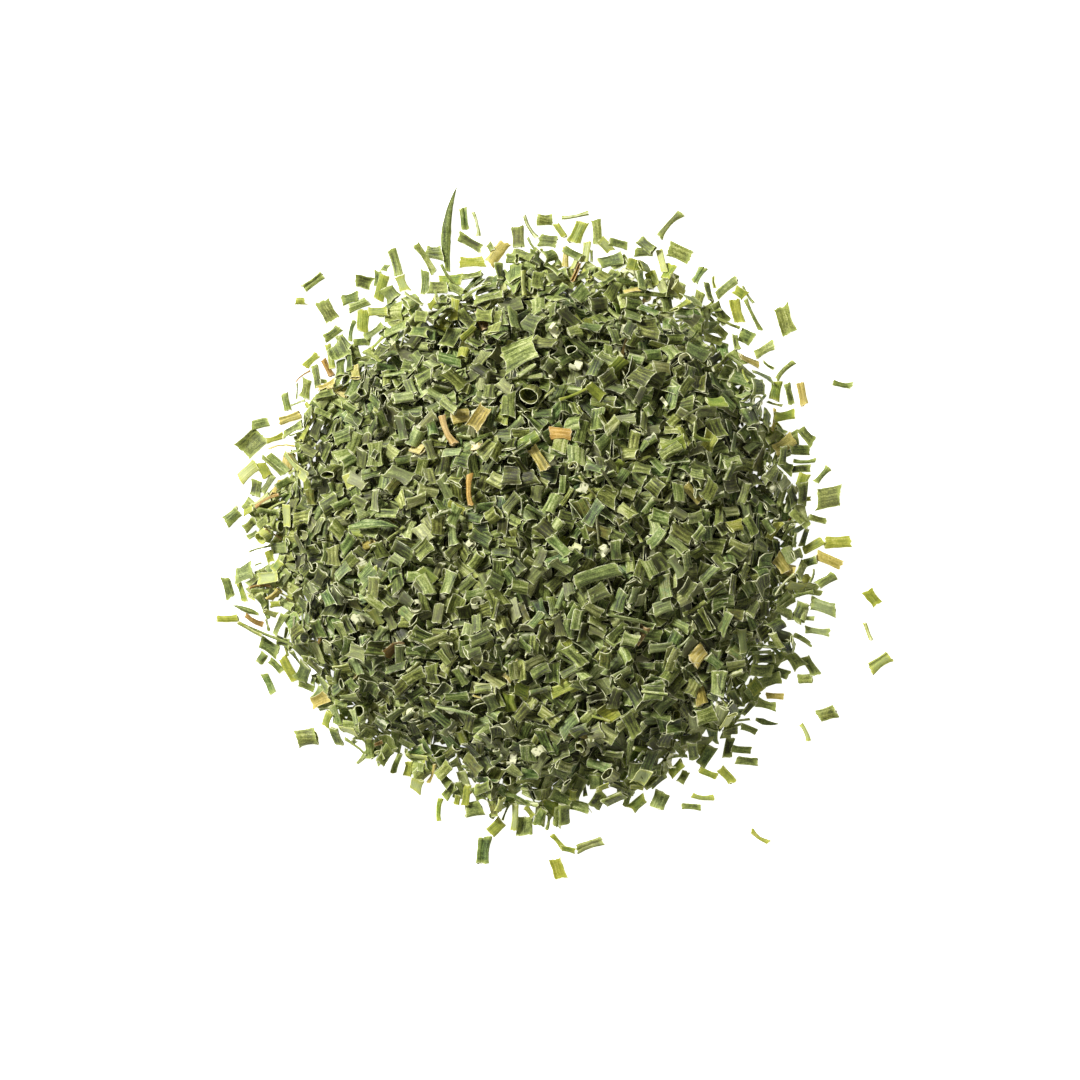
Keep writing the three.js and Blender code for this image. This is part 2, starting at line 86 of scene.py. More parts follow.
# the leaves near the foot that have their own place: form, x and y of the middle, heading in degrees,
# length, width and tone, going round from the upper left
FRINGE_LEAVES = (
    ("flat", -16.3, 45.0, 85, 4.4, 1.9, "light"), ("flat", -10.4, 43.8, -10, 4.4, 2.9, "green"),
    ("flat", -23.0, 43.8, -5, 4.4, 2.4, "green"), ("sheet", -23.4, 40.9, -20, 4.6, 2.6, "dark"),
    ("flat", -9.6, 47.5, 10, 6.0, 2.2, "green"), ("flat", -8.5, 40.9, 90, 3.6, 3.4, "green"),
    ("flat", -13.6, 40.4, 40, 3.8, 1.6, "light"), ("sheet", -17.3, 39.6, 70, 4.6, 3.6, "dark"),
    ("flat", -19.4, 44.3, 60, 4.0, 2.6, "dark"), ("flat", -12.6, 48.7, 30, 5.2, 3.0, "green"),
    ("flat", -9.6, 51.0, 80, 4.0, 2.0, "dark"), ("flat", -12.9, 50.7, 50, 5.4, 1.4, "dark"),
    ("flat", -14.0, 43.2, -50, 4.4, 2.4, "dark"), ("flat", -18.8, 47.2, -20, 4.2, 2.2, "dark"),
    ("flat", -15.2, 47.6, 15, 4.6, 2.4, "dark"), ("flat", -4.6, 43.0, 88, 4.2, 3.0, "green"),
    ("sheet", -34.7, 51.0, -12, 3.6, 2.8, "green"), ("flat", -31.9, 51.7, 85, 3.0, 1.6, "green"),
    ("scrap", -30.3, 53.8, 60, 1.6, 1.4, "green"), ("flat", -31.1, 49.9, 76, 5.2, 2.2, "light"),
    ("flat", -28.3, 54.9, 106, 5.4, 2.0, "green"), ("flat", -27.0, 50.7, 110, 3.2, 2.4, "pale"),
    ("flat", -24.6, 47.4, -40, 4.6, 1.2, "green"), ("flat", -37.4, 47.7, 18, 3.4, 2.4, "green"),
    ("flat", -35.7, 46.4, 22, 4.0, 2.0, "green"), ("flat", -34.8, 43.2, 87, 4.4, 2.6, "light"),
    ("flat", -30.0, 45.8, 52, 4.6, 1.8, "green"), ("sheet", -47.3, 47.1, 0, 2.2, 1.8, "light"),
    ("scrap", -9.4, 58.0, -60, 1.8, 1.4, "dark"), ("flat", -7.5, 53.0, 85, 4.2, 2.0, "dark"),
    ("flat", -4.2, 52.7, 98, 3.4, 3.4, "green"), ("flat", -0.4, 55.8, 80, 4.0, 2.2, "green"),
    ("flat", -2.8, 56.2, -25, 5.4, 1.8, "green"), ("flat", -2.7, 50.4, 92, 5.0, 1.5, "pale"),
    ("flat", 0.2, 51.0, 80, 4.0, 2.6, "dark"), ("flat", -20.6, 56.8, 175, 3.4, 3.2, "green"),
    ("flat", -22.3, 55.7, -57, 6.8, 1.6, "green"), ("stick", -17.6, 52.0, -53, 6.0, 0.8, "green"),
    ("flat", -17.2, 51.4, 5, 4.6, 2.5, "light"), ("flat", -22.4, 50.9, 88, 4.6, 1.7, "green"),
    ("stick", -20.0, 48.1, -55, 3.4, 0.7, "green"), ("flat", -20.8, 46.6, 40, 3.0, 1.8, "light"),
    ("sheet", 13.6, 58.3, 130, 3.6, 2.2, "pale"), ("flat", 14.8, 55.2, 12, 4.8, 3.0, "green"),
    ("flat", 9.8, 57.0, 80, 4.2, 1.7, "pale"), ("stick", 10.9, 56.2, 90, 2.2, 0.7, "dark"),
    ("flat", 5.7, 56.0, 88, 4.2, 1.5, "straw"), ("stick", 3.7, 55.8, -70, 3.6, 1.0, "green"),
    ("flat", 7.6, 54.8, 75, 3.4, 1.4, "pale"), ("flat", 3.2, 53.4, -50, 4.6, 1.5, "dark"),
    ("flat", 19.6, 54.1, 68, 3.0, 3.7, "light"), ("flat", 23.0, 51.5, 110, 3.2, 2.6, "light"),
    ("tip", 18.1, 50.8, 0, 5.5, 1.8, "dark"), ("flat", 14.4, 51.3, 36, 4.8, 1.4, "dark"),
    ("flat", 19.0, 49.1, 3, 3.9, 1.2, "straw"), ("tip", 22.5, 48.1, 0, 12.0, 1.3, "dark"),
    ("flat", 24.9, 55.2, 108, 5.2, 1.6, "pale"), ("flat", 26.2, 52.9, 75, 3.8, 2.7, "light"),
    ("flat", 28.2, 49.3, -40, 3.4, 3.0, "light"), ("flat", 32.3, 47.3, 75, 4.0, 2.2, "green"),
    ("sheet", 30.0, 45.8, 100, 3.8, 2.8, "green"), ("flat", 36.6, 44.7, -55, 4.6, 2.6, "dark"),
    ("sheet", 40.6, 48.8, -30, 2.8, 2.4, "light"), ("stick", 42.1, 48.5, -58, 4.0, 0.7, "green"),
    ("flat", 41.8, 40.0, -25, 2.8, 3.0, "green"), ("flat", 39.7, 38.9, 92, 3.4, 1.6, "green"),
    ("flat", 42.3, 35.2, -15, 4.5, 2.0, "straw"), ("stick", 39.2, 35.1, -38, 3.6, 1.0, "dark"),
    ("stick", 41.4, 32.2, -82, 3.2, 0.9, "light"), ("sheet", 44.1, 29.9, 3, 3.6, 3.7, "dark"),
    ("flat", 47.7, 29.2, 80, 3.8, 2.3, "light"), ("flat", 50.4, 28.6, -78, 4.2, 1.5, "dark"),
    ("stick", 47.6, 26.6, -15, 3.2, 0.7, "green"), ("flat", 45.8, 23.2, 55, 5.0, 2.4, "green"),
    ("stick", 47.3, 23.4, 75, 5.0, 1.0, "straw"), ("flat", 48.7, 21.2, -20, 2.4, 1.6, "dark"),
    ("flat", 49.3, 18.4, 35, 4.6, 3.0, "straw"), ("flat", 52.3, 17.4, -2, 4.4, 2.1, "dark"),
    ("stick", 53.5, 15.1, 3, 4.4, 1.0, "green"), ("flat", 52.4, 13.6, 6, 4.6, 1.5, "dark"),
    ("flat", 53.0, 11.2, 70, 3.2, 2.6, "light"), ("flat", 50.9, 8.2, -65, 4.0, 3.6, "dark"),
    ("scrap", 53.9, 7.6, 0, 1.8, 0.9, "light"), ("flat", 52.4, 3.6, -40, 4.6, 2.0, "green"),
    ("flat", 56.0, 3.6, -10, 3.6, 1.8, "dark"), ("flat", 53.4, 0.0, 80, 3.8, 1.8, "dark"),
    ("flat", 51.3, -0.6, 95, 3.0, 1.2, "green"), ("flat", 55.2, -1.7, 30, 4.4, 1.8, "light"),
    ("flat", 51.7, -3.4, 20, 3.4, 2.4, "green"), ("flat", 54.6, -4.9, 20, 2.8, 2.0, "dark"),
    ("flat", 53.5, -8.3, 30, 2.4, 2.0, "light"), ("flat", 51.6, -9.8, -20, 4.2, 2.2, "pale"),
    ("flat", 55.2, -11.0, -15, 3.8, 1.4, "green"), ("flat", 52.3, -14.9, 65, 4.0, 2.8, "dark"),
    ("flat", 53.0, -20.4, -18, 4.2, 1.6, "green"), ("flat", 50.8, -21.2, -38, 3.6, 2.6, "green"),
    ("flat", 53.6, -28.3, 3, 3.0, 2.0, "green"), ("flat", 48.5, -27.1, -18, 3.8, 2.0, "green"),
    ("flat", 47.6, -31.8, -3, 3.6, 1.4, "straw"), ("flat", 45.8, -33.5, -15, 4.0, 2.2, "green"),
    ("tip", 46.0, -37.0, -12, 5.0, 1.3, "green"), ("flat", 42.3, -38.3, -22, 3.4, 1.5, "green"),
    ("flat", 37.7, -36.4, 88, 4.4, 2.9, "pale"), ("flat", 38.6, -38.8, 0, 3.4, 2.2, "dark"),
    ("flat", 38.3, -42.0, 80, 4.0, 2.0, "dark"), ("flat", 40.8, -42.5, -5, 4.0, 1.6, "green"),
    ("flat", 42.0, -44.8, -5, 4.2, 1.8, "green"), ("flat", 37.9, -47.6, -48, 3.8, 2.0, "light"),
    ("flat", 34.2, -47.2, -22, 3.8, 1.5, "light"), ("flat", 30.8, -53.9, -4, 3.8, 1.3, "green"),
    ("flat", 6.2, -62.4, -14, 3.0, 1.4, "light"), ("tip", 4.3, -55.6, -100, 5.2, 1.6, "dark"),
    ("flat", 12.2, -52.4, 62, 3.8, 3.4, "dark"), ("scrap", 10.4, -54.6, -42, 1.7, 0.4, "green"),
    ("flat", 16.2, -49.9, -40, 3.4, 2.0, "dark"), ("flat", 18.2, -52.0, 78, 4.2, 1.5, "green"),
    ("flat", 19.9, -49.9, -18, 3.0, 1.2, "light"), ("flat", 24.5, -52.6, 68, 3.4, 3.2, "green"),
    ("flat", 24.2, -48.7, 40, 4.0, 2.2, "green"), ("flat", 29.2, -48.0, 60, 2.6, 1.8, "green"),
    ("flat", 7.1, -51.4, 85, 2.6, 1.8, "light"), ("flat", 13.1, -49.8, 10, 2.6, 2.0, "light"),
    ("sheet", 20.8, -47.4, 70, 4.6, 3.2, "pale"), ("stick", -20.9, -47.2, 65, 4.2, 0.9, "straw"),
    ("flat", -17.5, -50.7, 50, 3.6, 2.4, "dark"), ("flat", -15.9, -52.5, 75, 2.2, 1.4, "light"),
    ("flat", -14.1, -51.5, 82, 4.2, 1.7, "light"), ("sheet", -12.3, -50.1, 30, 2.6, 1.8, "straw"),
    ("fold", -12.7, -54.3, 10, 3.4, 3.2, "green"), ("flat", -9.7, -50.4, 85, 3.0, 3.0, "green"),
    ("flat", -7.4, -53.2, 80, 3.0, 1.8, "pale"), ("stick", -6.2, -54.8, 68, 3.9, 0.7, "dark"),
    ("flat", -8.2, -58.0, 45, 3.4, 2.6, "light"), ("flat", -4.4, -56.0, 86, 5.4, 1.5, "pale"),
    ("flat", -2.4, -57.8, 85, 3.6, 3.4, "green"), ("flat", -1.5, -54.8, -60, 2.6, 2.2, "light"),
    ("flat", -1.9, -53.2, -3, 4.4, 1.2, "green"), ("flat", 0.7, -55.8, 65, 4.0, 2.0, "dark"),
    ("flat", -24.1, -49.6, 75, 2.8, 2.7, "pale"), ("flat", -25.8, -46.3, 80, 3.0, 1.9, "light"),
    ("flat", -28.1, -45.2, 70, 4.2, 1.3, "green"), ("flat", -30.2, -43.4, 50, 3.8, 3.0, "green"),
    ("flat", -33.5, -42.1, 95, 3.9, 1.8, "green"), ("scrap", -31.6, -41.1, 25, 1.8, 0.9, "brown"),
    ("scrap", -36.7, -41.0, 45, 2.0, 1.2, "dark"), ("flat", -37.6, -38.5, 10, 4.0, 2.8, "pale"),
    ("flat", -23.2, -45.9, 85, 1.8, 1.5, "green"), ("flat", -23.8, -43.8, 0, 4.2, 1.6, "pale"),
    ("tip", -54.3, -19.2, 161, 11.5, 1.7, "green"), ("flat", -53.5, -22.0, -33, 4.2, 2.8, "green"),
    ("sheet", -55.0, -24.2, 60, 2.4, 2.0, "dark"), ("flat", -52.2, -25.7, -45, 3.4, 1.5, "green"),
    ("flat", -49.6, -26.4, -62, 5.4, 1.9, "light"), ("flat", -47.9, -24.4, -65, 4.4, 2.2, "dark"),
    ("flat", -46.1, -29.8, -22, 3.4, 1.4, "green"), ("flat", -44.7, -28.6, 60, 2.0, 1.4, "dark"),
    ("sheet", -43.3, -32.4, 25, 4.0, 2.8, "straw"), ("flat", -41.8, -36.3, 60, 3.6, 2.0, "light"),
    ("flat", -57.5, 5.3, 20, 3.4, 1.6, "light"), ("flat", -57.3, 2.5, 40, 3.6, 2.0, "dark"),
    ("flat", -54.6, 2.9, 32, 3.4, 1.8, "green"), ("flat", -56.9, 0.4, 28, 2.2, 1.2, "green"),
    ("ring", -54.5, 0.2, 0, 2.0, 2.9, "pale"), ("stick", -55.4, -2.3, 12, 4.6, 0.4, "dark"),
    ("sheet", -53.2, -3.8, -72, 2.6, 2.4, "light"), ("scrap", -55.7, -5.4, 20, 1.6, 0.5, "green"),
    ("flat", -51.8, -5.8, 45, 2.6, 2.0, "light"), ("sheet", -53.5, -8.2, 5, 4.4, 2.6, "pale"),
    ("flat", -56.5, -8.6, 35, 3.2, 1.6, "dark"), ("stick", -55.2, -9.7, 10, 4.4, 0.8, "brown"),
    ("flat", -55.2, -10.7, 0, 3.6, 1.3, "green"), ("sheet", -56.9, -11.8, -8, 2.4, 1.5, "pale"),
    ("flat", -54.9, -12.7, -55, 2.8, 1.5, "dark"), ("flat", -52.3, -11.5, 52, 3.6, 1.8, "straw"),
    ("flat", -52.2, -13.4, 10, 2.0, 1.4, "light"), ("flat", -53.2, -15.2, -28, 3.0, 1.4, "pale"),
    ("tip", -58.3, -14.5, 161, 5.6, 1.3, "green"), ("stick", -56.6, -16.7, -28, 4.0, 1.1, "brown"),
    ("stick", -53.8, -17.5, -85, 2.5, 0.4, "green"), ("flat", -57.3, -18.4, -28, 5.4, 1.5, "light"),
    ("flat", -55.4, 22.7, 15, 3.6, 2.0, "green"), ("flat", -52.4, 19.7, 20, 3.6, 1.5, "light"),
    ("stick", -50.8, 18.1, -8, 5.4, 1.2, "straw"), ("flat", -47.9, 17.0, -5, 2.0, 1.2, "dark"),
    ("flat", -51.8, 14.8, -42, 5.2, 1.9, "green"), ("flat", -52.8, 14.3, -40, 5.6, 1.3, "green"),
    ("flat", -48.9, 15.0, -38, 5.0, 1.8, "pale"), ("flat", -57.8, 13.0, 42, 4.6, 2.6, "pale"),
    ("flat", -54.6, 13.4, -62, 3.2, 2.4, "light"), ("flat", -53.8, 10.6, 57, 4.2, 1.6, "green"),
    ("flat", -51.8, 10.0, 80, 4.2, 1.4, "straw"), ("stick", -53.8, 7.4, 23, 5.2, 1.3, "brown"),
    ("flat", -53.6, 6.2, 20, 4.4, 1.7, "dark"), ("stick", -51.9, 6.3, 32, 3.4, 0.8, "pale"),
    ("flat", -53.4, 5.0, -10, 4.6, 1.6, "dark"), ("flat", -49.7, 4.2, 90, 4.4, 2.2, "pale"),
    ("flat", -47.2, 19.8, 88, 2.4, 1.5, "light"), ("flat", -45.8, 21.4, 70, 4.8, 1.4, "light"),
    ("flat", -42.5, 24.6, -22, 3.6, 1.4, "green"), ("sheet", -46.2, 12.5, -20, 3.4, 2.8, "pale"),
    ("stick", -37.1, 41.2, 78, 4.1, 1.1, "green"), ("flat", -38.6, 38.9, -55, 3.6, 1.9, "green"),
    ("flat", -37.4, 35.2, -76, 4.8, 1.8, "dark"), ("flat", -35.0, 39.0, 5, 3.4, 1.7, "dark"),
    ("flat", -41.3, 36.0, -78, 5.2, 1.4, "light"), ("flat", -41.9, 33.8, -62, 3.8, 1.4, "brown"),
    ("flat", -39.2, 33.6, -82, 4.4, 2.2, "green"), ("flat", -45.2, 35.3, 45, 3.6, 1.7, "light"),
    ("flat", -44.1, 32.1, -80, 4.6, 1.5, "green"), ("stick", -47.0, 32.2, 38, 3.6, 0.4, "brown"),
    ("flat", -46.2, 29.7, 80, 3.8, 2.4, "dark"), ("stick", -48.0, 29.2, 88, 3.0, 0.4, "green"),
    ("stick", -47.6, 26.8, 3, 3.2, 0.5, "green"), ("sheet", -41.9, 30.2, 15, 4.2, 1.8, "straw"),
    ("flat", -42.3, 28.4, 12, 4.0, 2.2, "dark"), ("flat", -42.7, 31.1, 10, 1.6, 1.1, "green"),
)
FILLING_TONES = ("dark", "green", "green", "green", "green", "light")
# tone: finish, tone, and how far it has bleached and browned. A leaf that comes later lies higher.
FRINGE_TONES = {
    "dark": ("leaf_green", 0.33, 0.0, 0.1),
    "green": ("leaf_green", 0.5, 0.03, 0.08),
    "brown": ("leaf_brown", 0.4, 0.0, 0.2),
    "straw": ("leaf_straw", 0.5, 0.05, 0.05),
    # light: lighter yellow-green leaves, partly their own colour and partly painted light of the floor coming through
    # them
    "light": ("leaf_light", 0.48, 0.05, 0.05),
    "pale": ("leaf_light", 0.55, 0.5, 0.0),
}

# ---- How many different leaves are made, and how often each form is laid ----
LEAF_FORMS = {
    "flat": (44, 0.44),
    "fold": (14, 0.11),
    "sheet": (24, 0.15),
    "tube": (10, 0.045),
    "curl": (10, 0.045),
    "stick": (16, 0.115),
    "scrap": (14, 0.083),
    "tip": (5, 0.012),
}
COLOUR_SHARES = {"leaf_green": 0.955, "leaf_light": 0.033, "leaf_straw": 0.008, "leaf_brown": 0.004}
SKIN, INSIDE, RIM = range(3)  # the finishes of every leaf
SHARPEST_SMOOTH = math.radians(62)

Leaf = namedtuple("Leaf", "mesh points matrix slot marks")


# ---- Leaf blanks: closed shapes of unit size, before they are shaped ----


def grow(bm, loop, finish):
    """Extrudes a loop of edges where it is. Gives the new loop's edges and points."""
    grown = bmesh.ops.extrude_edge_only(bm, edges=loop)["geom"]
    for part in grown:
        if isinstance(part, bmesh.types.BMFace):
            part.material_index = finish
    new_loop = [part for part in grown if isinstance(part, bmesh.types.BMEdge)]
    return new_loop, [part for part in grown if isinstance(part, bmesh.types.BMVert)]


def grow_along(bm, loop, steps, way):
    """Extrudes a loop along X over a whole leaf, in a few steps."""
    for _ in range(steps):
        loop, points = grow(bm, loop, SKIN if way > 0 else INSIDE)
        bmesh.ops.translate(bm, verts=points, vec=(way / steps, 0, 0))
    return loop


def first_ring(sides):
    bm = bmesh.new()
    bmesh.ops.create_circle(bm, segments=sides, radius=1.0, matrix=Matrix.Rotation(math.pi / 2, 4, "Y"))
    bmesh.ops.translate(bm, verts=bm.verts, vec=(-0.5, 0, 0))
    return bm, bm.edges[:]


def narrow(bm, points, wall):
    """Draws a ring in by the leaf's wall, given as shares of its half width and half height."""
    bmesh.ops.scale(bm, verts=points, vec=(1, 1 - wall[0], 1 - wall[1]))


def mouthed_blank(sides, steps, wall, mouth):
    """A tube with two cut rims and a mouth that goes that far into each end."""
    bm, first = first_ring(sides)
    last = grow_along(bm, first, steps, 1)
    for loop, inwards in ((first, 1), (last, -1)):
        loop, points = grow(bm, loop, RIM)
        narrow(bm, points, wall)
        loop, points = grow(bm, loop, INSIDE)
        bmesh.ops.translate(bm, verts=points, vec=(inwards * mouth, 0, 0))
        bottom = bmesh.ops.contextual_create(bm, geom=loop)["faces"]
        for face in bottom:
            face.material_index = INSIDE
    bmesh.ops.recalc_face_normals(bm, faces=bm.faces)
    return bm


def pipe_blank(sides, steps, wall):
    """A tube that is open all the way through."""
    bm, first = first_ring(sides)
    loop = grow_along(bm, first, steps, 1)
    loop, points = grow(bm, loop, RIM)
    narrow(bm, points, wall)
    loop = grow_along(bm, loop, steps, -1)
    for face in bmesh.ops.bridge_loops(bm, edges=first + loop)["faces"]:
        face.material_index = RIM
    bmesh.ops.recalc_face_normals(bm, faces=bm.faces)
    return bm


def stick_blank(sides, steps):
    """A rolled-up leaf with its two ends closed: a cut rim round the inside's folds."""
    bm, first = first_ring(sides)
    last = grow_along(bm, first, steps, 1)
    for loop in (first, last):
        loop, points = grow(bm, loop, RIM)
        narrow(bm, points, (0.4, 0.4))
        for face in bmesh.ops.contextual_create(bm, geom=loop)["faces"]:
            face.material_index = INSIDE
    bmesh.ops.recalc_face_normals(bm, faces=bm.faces)
    return bm


def slab_blank(across, along):
    """A slab one unit long, wide and thick. Its thickness becomes the leaf's wall."""
    bm = bmesh.new()
    bmesh.ops.create_grid(bm, x_segments=along, y_segments=across, size=0.5)
    raised = bmesh.ops.extrude_face_region(bm, geom=bm.faces[:], use_keep_orig=True)["geom"]
    points = [part for part in raised if isinstance(part, bmesh.types.BMVert)]
    bmesh.ops.translate(bm, verts=points, vec=(0, 0, 1))
    bmesh.ops.recalc_face_normals(bm, faces=bm.faces)
    for face in bm.faces:
        face.material_index = RIM if abs(face.normal.x) > 0.5 else INSIDE if face.normal.z > 0.5 else SKIN
    return bm


def lay_out(bm, length, width, tubular):
    """Stores, before the leaf is shaped, where each point is on the leaf: round it and along it, in mm."""
    leaf_map = bm.loops.layers.uv.new("leaf_map")
    to_end, to_side = (bm.verts.layers.float.new(name) for name in ("to_end", "to_side"))
    for vert in bm.verts:
        vert[to_end] = (0.5 - abs(vert.co.x)) * length
        vert[to_side] = (0.5 - abs(vert.co.y) * (0.5 if tubular else 1)) * width
    for face in bm.faces:
        middle = face.calc_center_median()
        centre = math.atan2(middle.y, middle.z)
        for loop in face.loops:
            point = loop.vert.co
            around = point.y
            if tubular:
                turned = math.remainder(math.atan2(point.y, point.z) - centre, 2 * math.pi)
                around = (centre + turned) / math.pi
            loop[leaf_map].uv = (around * width, point.x * length)


# ---- Leaf forms, in millimetres, along X and centred on the origin ----


def shaped(bm, form):
    for vert in bm.verts:
        vert.co = form(vert.co)
    return bm


def weathered(rng, bm, length, bend=0.04, twist=0.35, slant=0.35, crumple=0.11):
    """What cutting and drying do to a leaf: slanted, frayed ends, a bend, a twist and an uneven surface."""
    slants = rng.uniform(-slant, slant), rng.uniform(-slant, slant)
    arch, sway = (rng.uniform(-bend, bend) * length for _ in range(2))
    turned = rng.uniform(-twist, twist)
    own = Vector([rng.uniform(0, 99) for _ in range(3)])

    def form(p):
        share = 2 * p.x / length
        end = min(1.0, abs(share)) ** 4
        x = p.x + slants[int(share > 0)] * p.y * end
        x += 0.35 * end * noise.noise(Vector((share, p.y * 2.1, p.z * 2.1)) + own)
        angle = turned * share / 2
        y = p.y * math.cos(angle) - p.z * math.sin(angle) + sway * (share * share - 0.4)
        z = p.y * math.sin(angle) + p.z * math.cos(angle) + arch * (share * share - 0.4)
        return Vector((x, y, z)) + crumple * noise.noise_vector(p * 0.75 + own)

    return shaped(bm, form)


def ribbed(rng, bm, length, width, depth):
    """Real ribs, for a leaf that is seen close by: every second row of points stands out."""
    turn = rng.uniform(0, math.pi)
    for vert in bm.verts:
        if abs(vert.co.y) < 0.46 * width:
            vert.co.z += depth * math.sin(vert.co.y * 2 * math.pi * RIBS_PER_MM + turn) * (1 if vert.co.z > 0 else -1)
    return bm


def flat_leaf(rng, length, width, height, sides=12, steps=3, creases=None):
    """A tube that dried flat: narrower along its middle, with creases pressed into its upper side."""
    wall = LEAF_WALL / (width / 2), min(0.75, LEAF_WALL / (height / 2))
    bm = mouthed_blank(sides, steps, wall, rng.uniform(0.1, 0.22))
    lay_out(bm, length, width, True)
    waist = rng.triangular(0.62, 1.0, 0.85)
    pinch = rng.uniform(0.5, 0.85)
    lean = rng.uniform(-0.2, 0.2)
    creases = rng.choice((0, 0, 1, 1, 2)) if creases is None else creases
    grooves = [(rng.uniform(-0.5, 0.5), rng.uniform(0.5, 1.0)) for _ in range(creases)]
    hollow = rng.uniform(-0.1, 0.25)

    def form(p):
        flare = min(1.0, abs(2 * p.x + lean)) ** 2.4
        y = p.y * (waist + (1 - waist) * flare)
        z = p.z * (pinch + (1 - pinch) * flare)
        for at, depth in grooves:
            z -= max(0.0, z) * (1 + hollow) * depth * math.exp(-(((p.y - at) / 0.28) ** 2))
        return Vector((p.x * length, y * width / 2, z * height / 2))

    return weathered(rng, shaped(bm, form), length)


def folded_leaf(rng, length, width, height):
    """A leaf that folded along its middle, so that two rolls lie side by side."""
    bm = mouthed_blank(12, 3, (LEAF_WALL / (width / 2), LEAF_WALL / (height / 2)), 0.12)
    lay_out(bm, length, width, True)
    middle = rng.uniform(-0.3, 0.3)
    waist = rng.uniform(0.8, 1.0)
    open_end = rng.choice((-1, 1))

    def form(p):
        part = 1 - 0.35 * max(0.0, open_end * 2 * p.x)
        z = p.z * (1 - 0.95 * part * math.exp(-(((p.y - middle) / 0.3) ** 2)) * (p.z > 0))
        z -= 0.35 * (p.y - middle) ** 2 * (p.z < 0)
        y = p.y * (waist + (1 - waist) * 4 * p.x * p.x)
        return Vector((p.x * length, y * width / 2, z * height / 2))

    return weathered(rng, shaped(bm, form), length)


def round_leaf(rng, length, width, height, sides=12, steps=2):
    """A tube that stayed open, out of round and dented."""
    bm = pipe_blank(sides, steps, (LEAF_WALL / (width / 2), LEAF_WALL / (height / 2)))
    lay_out(bm, length, width, True)
    waist = rng.uniform(0.8, 1.0)
    dent, dent_at = rng.uniform(0, 0.25), rng.uniform(0, 2 * math.pi)
    lobes = rng.choice((2, 3, 5))

    def form(p):
        angle = math.atan2(p.y, p.z)
        flare = waist + (1 - waist) * 4 * p.x * p.x
        flare *= 1 - dent * (0.5 + 0.5 * math.cos(lobes * (angle - dent_at)))
        return Vector((p.x * length, p.y * flare * width / 2, p.z * flare * height / 2))

    return weathered(rng, shaped(bm, form), length, slant=0.2)


def opened_leaf(rng, length, width, height, across=5, along=3, wall=None):
    """A leaf that split along its side: a sheet curled over its length, with corners drawn out to points."""
    bm = slab_blank(across, along)
    lay_out(bm, length, width, False)
    wall = wall or LEAF_WALL
    curl = max(0.2, 8 * math.atan(2 * height / width))  # the arc of that width and height
    radius = width / curl
    corners = rng.uniform(0.0, 0.2)
    waist = rng.uniform(0.0, 0.2)
    crease, crease_at = rng.choice((0, 0, 0.3, 0.5)) * height, rng.uniform(-0.3, 0.3)
    warp = rng.uniform(-0.5, 0.5) * height
    turned_up = rng.choice((-1, 1))

    def form(p):
        angle = curl * p.y
        reach = radius - p.z * wall
        y = reach * math.sin(angle) * (1 - waist * (1 - 4 * p.x * p.x))
        z = radius - reach * math.cos(angle) - height / 2
        z += warp * 4 * p.x * p.y - crease * math.exp(-(((p.y - crease_at) / 0.16) ** 2))
        x = p.x * length * (1 - corners + 4 * corners * p.y * p.y)
        return Vector((x, y, z * turned_up))

    bm = weathered(rng, shaped(bm, form), length, twist=0.5, slant=0.4, crumple=0.22)
    bmesh.ops.recalc_face_normals(bm, faces=bm.faces)
    return bm


def curled_leaf(rng, length, width, height):
    """A narrow slice of leaf that sprang into a ring or a hook, standing on its edge or lying."""
    bm = slab_blank(11, 1)
    around = width * rng.uniform(1.9, 3.0)
    lay_out(bm, length, around, False)
    turn = rng.uniform(1.2, 2.15) * math.pi
    pitch = rng.uniform(0.2, 0.8) * length
    squeeze = rng.uniform(0.6, 1.0)

    def form(p):
        angle = turn * p.y
        reach = (width / 2) * (1 - 0.18 * p.y) - p.z * LEAF_WALL
        return Vector((p.x * length + pitch * p.y, reach * math.sin(angle), -reach * math.cos(angle) * squeeze))

    return weathered(rng, shaped(bm, form), max(length, 1.0), slant=0.1, crumple=0.1)


def rolled_leaf(rng, length, width, height, sides=7, steps=3):
    """A leaf that rolled up into a narrow stick, often with one wider end."""
    bm = stick_blank(sides, steps)
    lay_out(bm, length, width * 1.5, True)
    waist = rng.uniform(0.55, 0.9)
    ends = rng.uniform(0.75, 1.05), rng.uniform(0.85, 1.2)

    def form(p):
        flare = waist + (1 - waist) * abs(2 * p.x) ** 2.4
        flare *= ends[0] + (ends[1] - ends[0]) * (p.x + 0.5)
        return Vector((p.x * length, p.y * flare * width / 2, p.z * flare * height / 2))

    return weathered(rng, shaped(bm, form), length, bend=0.09, crumple=0.1)


def leaf_tip(rng, length, width, height, sides=7, steps=6, bow=None):
    """The long pointed end of a leaf, bowed along its length, with its point at +X."""
    bm = stick_blank(sides, steps)
    lay_out(bm, length, width * 1.5, True)
    bow = rng.uniform(-0.06, 0.06) * length if bow is None else bow

    def form(p):
        along = p.x + 0.5
        taper = (0.45 + 0.55 * min(1.0, along * 3)) * (1 - max(0.0, (along - 0.35) / 0.65) ** 1.5 * 0.95)
        y = p.y * taper * width / 2 + bow * (4 * p.x * p.x - 0.5)
        return Vector((p.x * length, y, p.z * (0.3 + 0.7 * taper) * height / 2))

    return weathered(rng, shaped(bm, form), length, bend=0.0, twist=0.8, crumple=0.12)


def scrap_leaf(rng, length, width, height):
    """A torn crumb or shred of leaf."""
    return opened_leaf(rng, length, width, height, across=2, along=2)


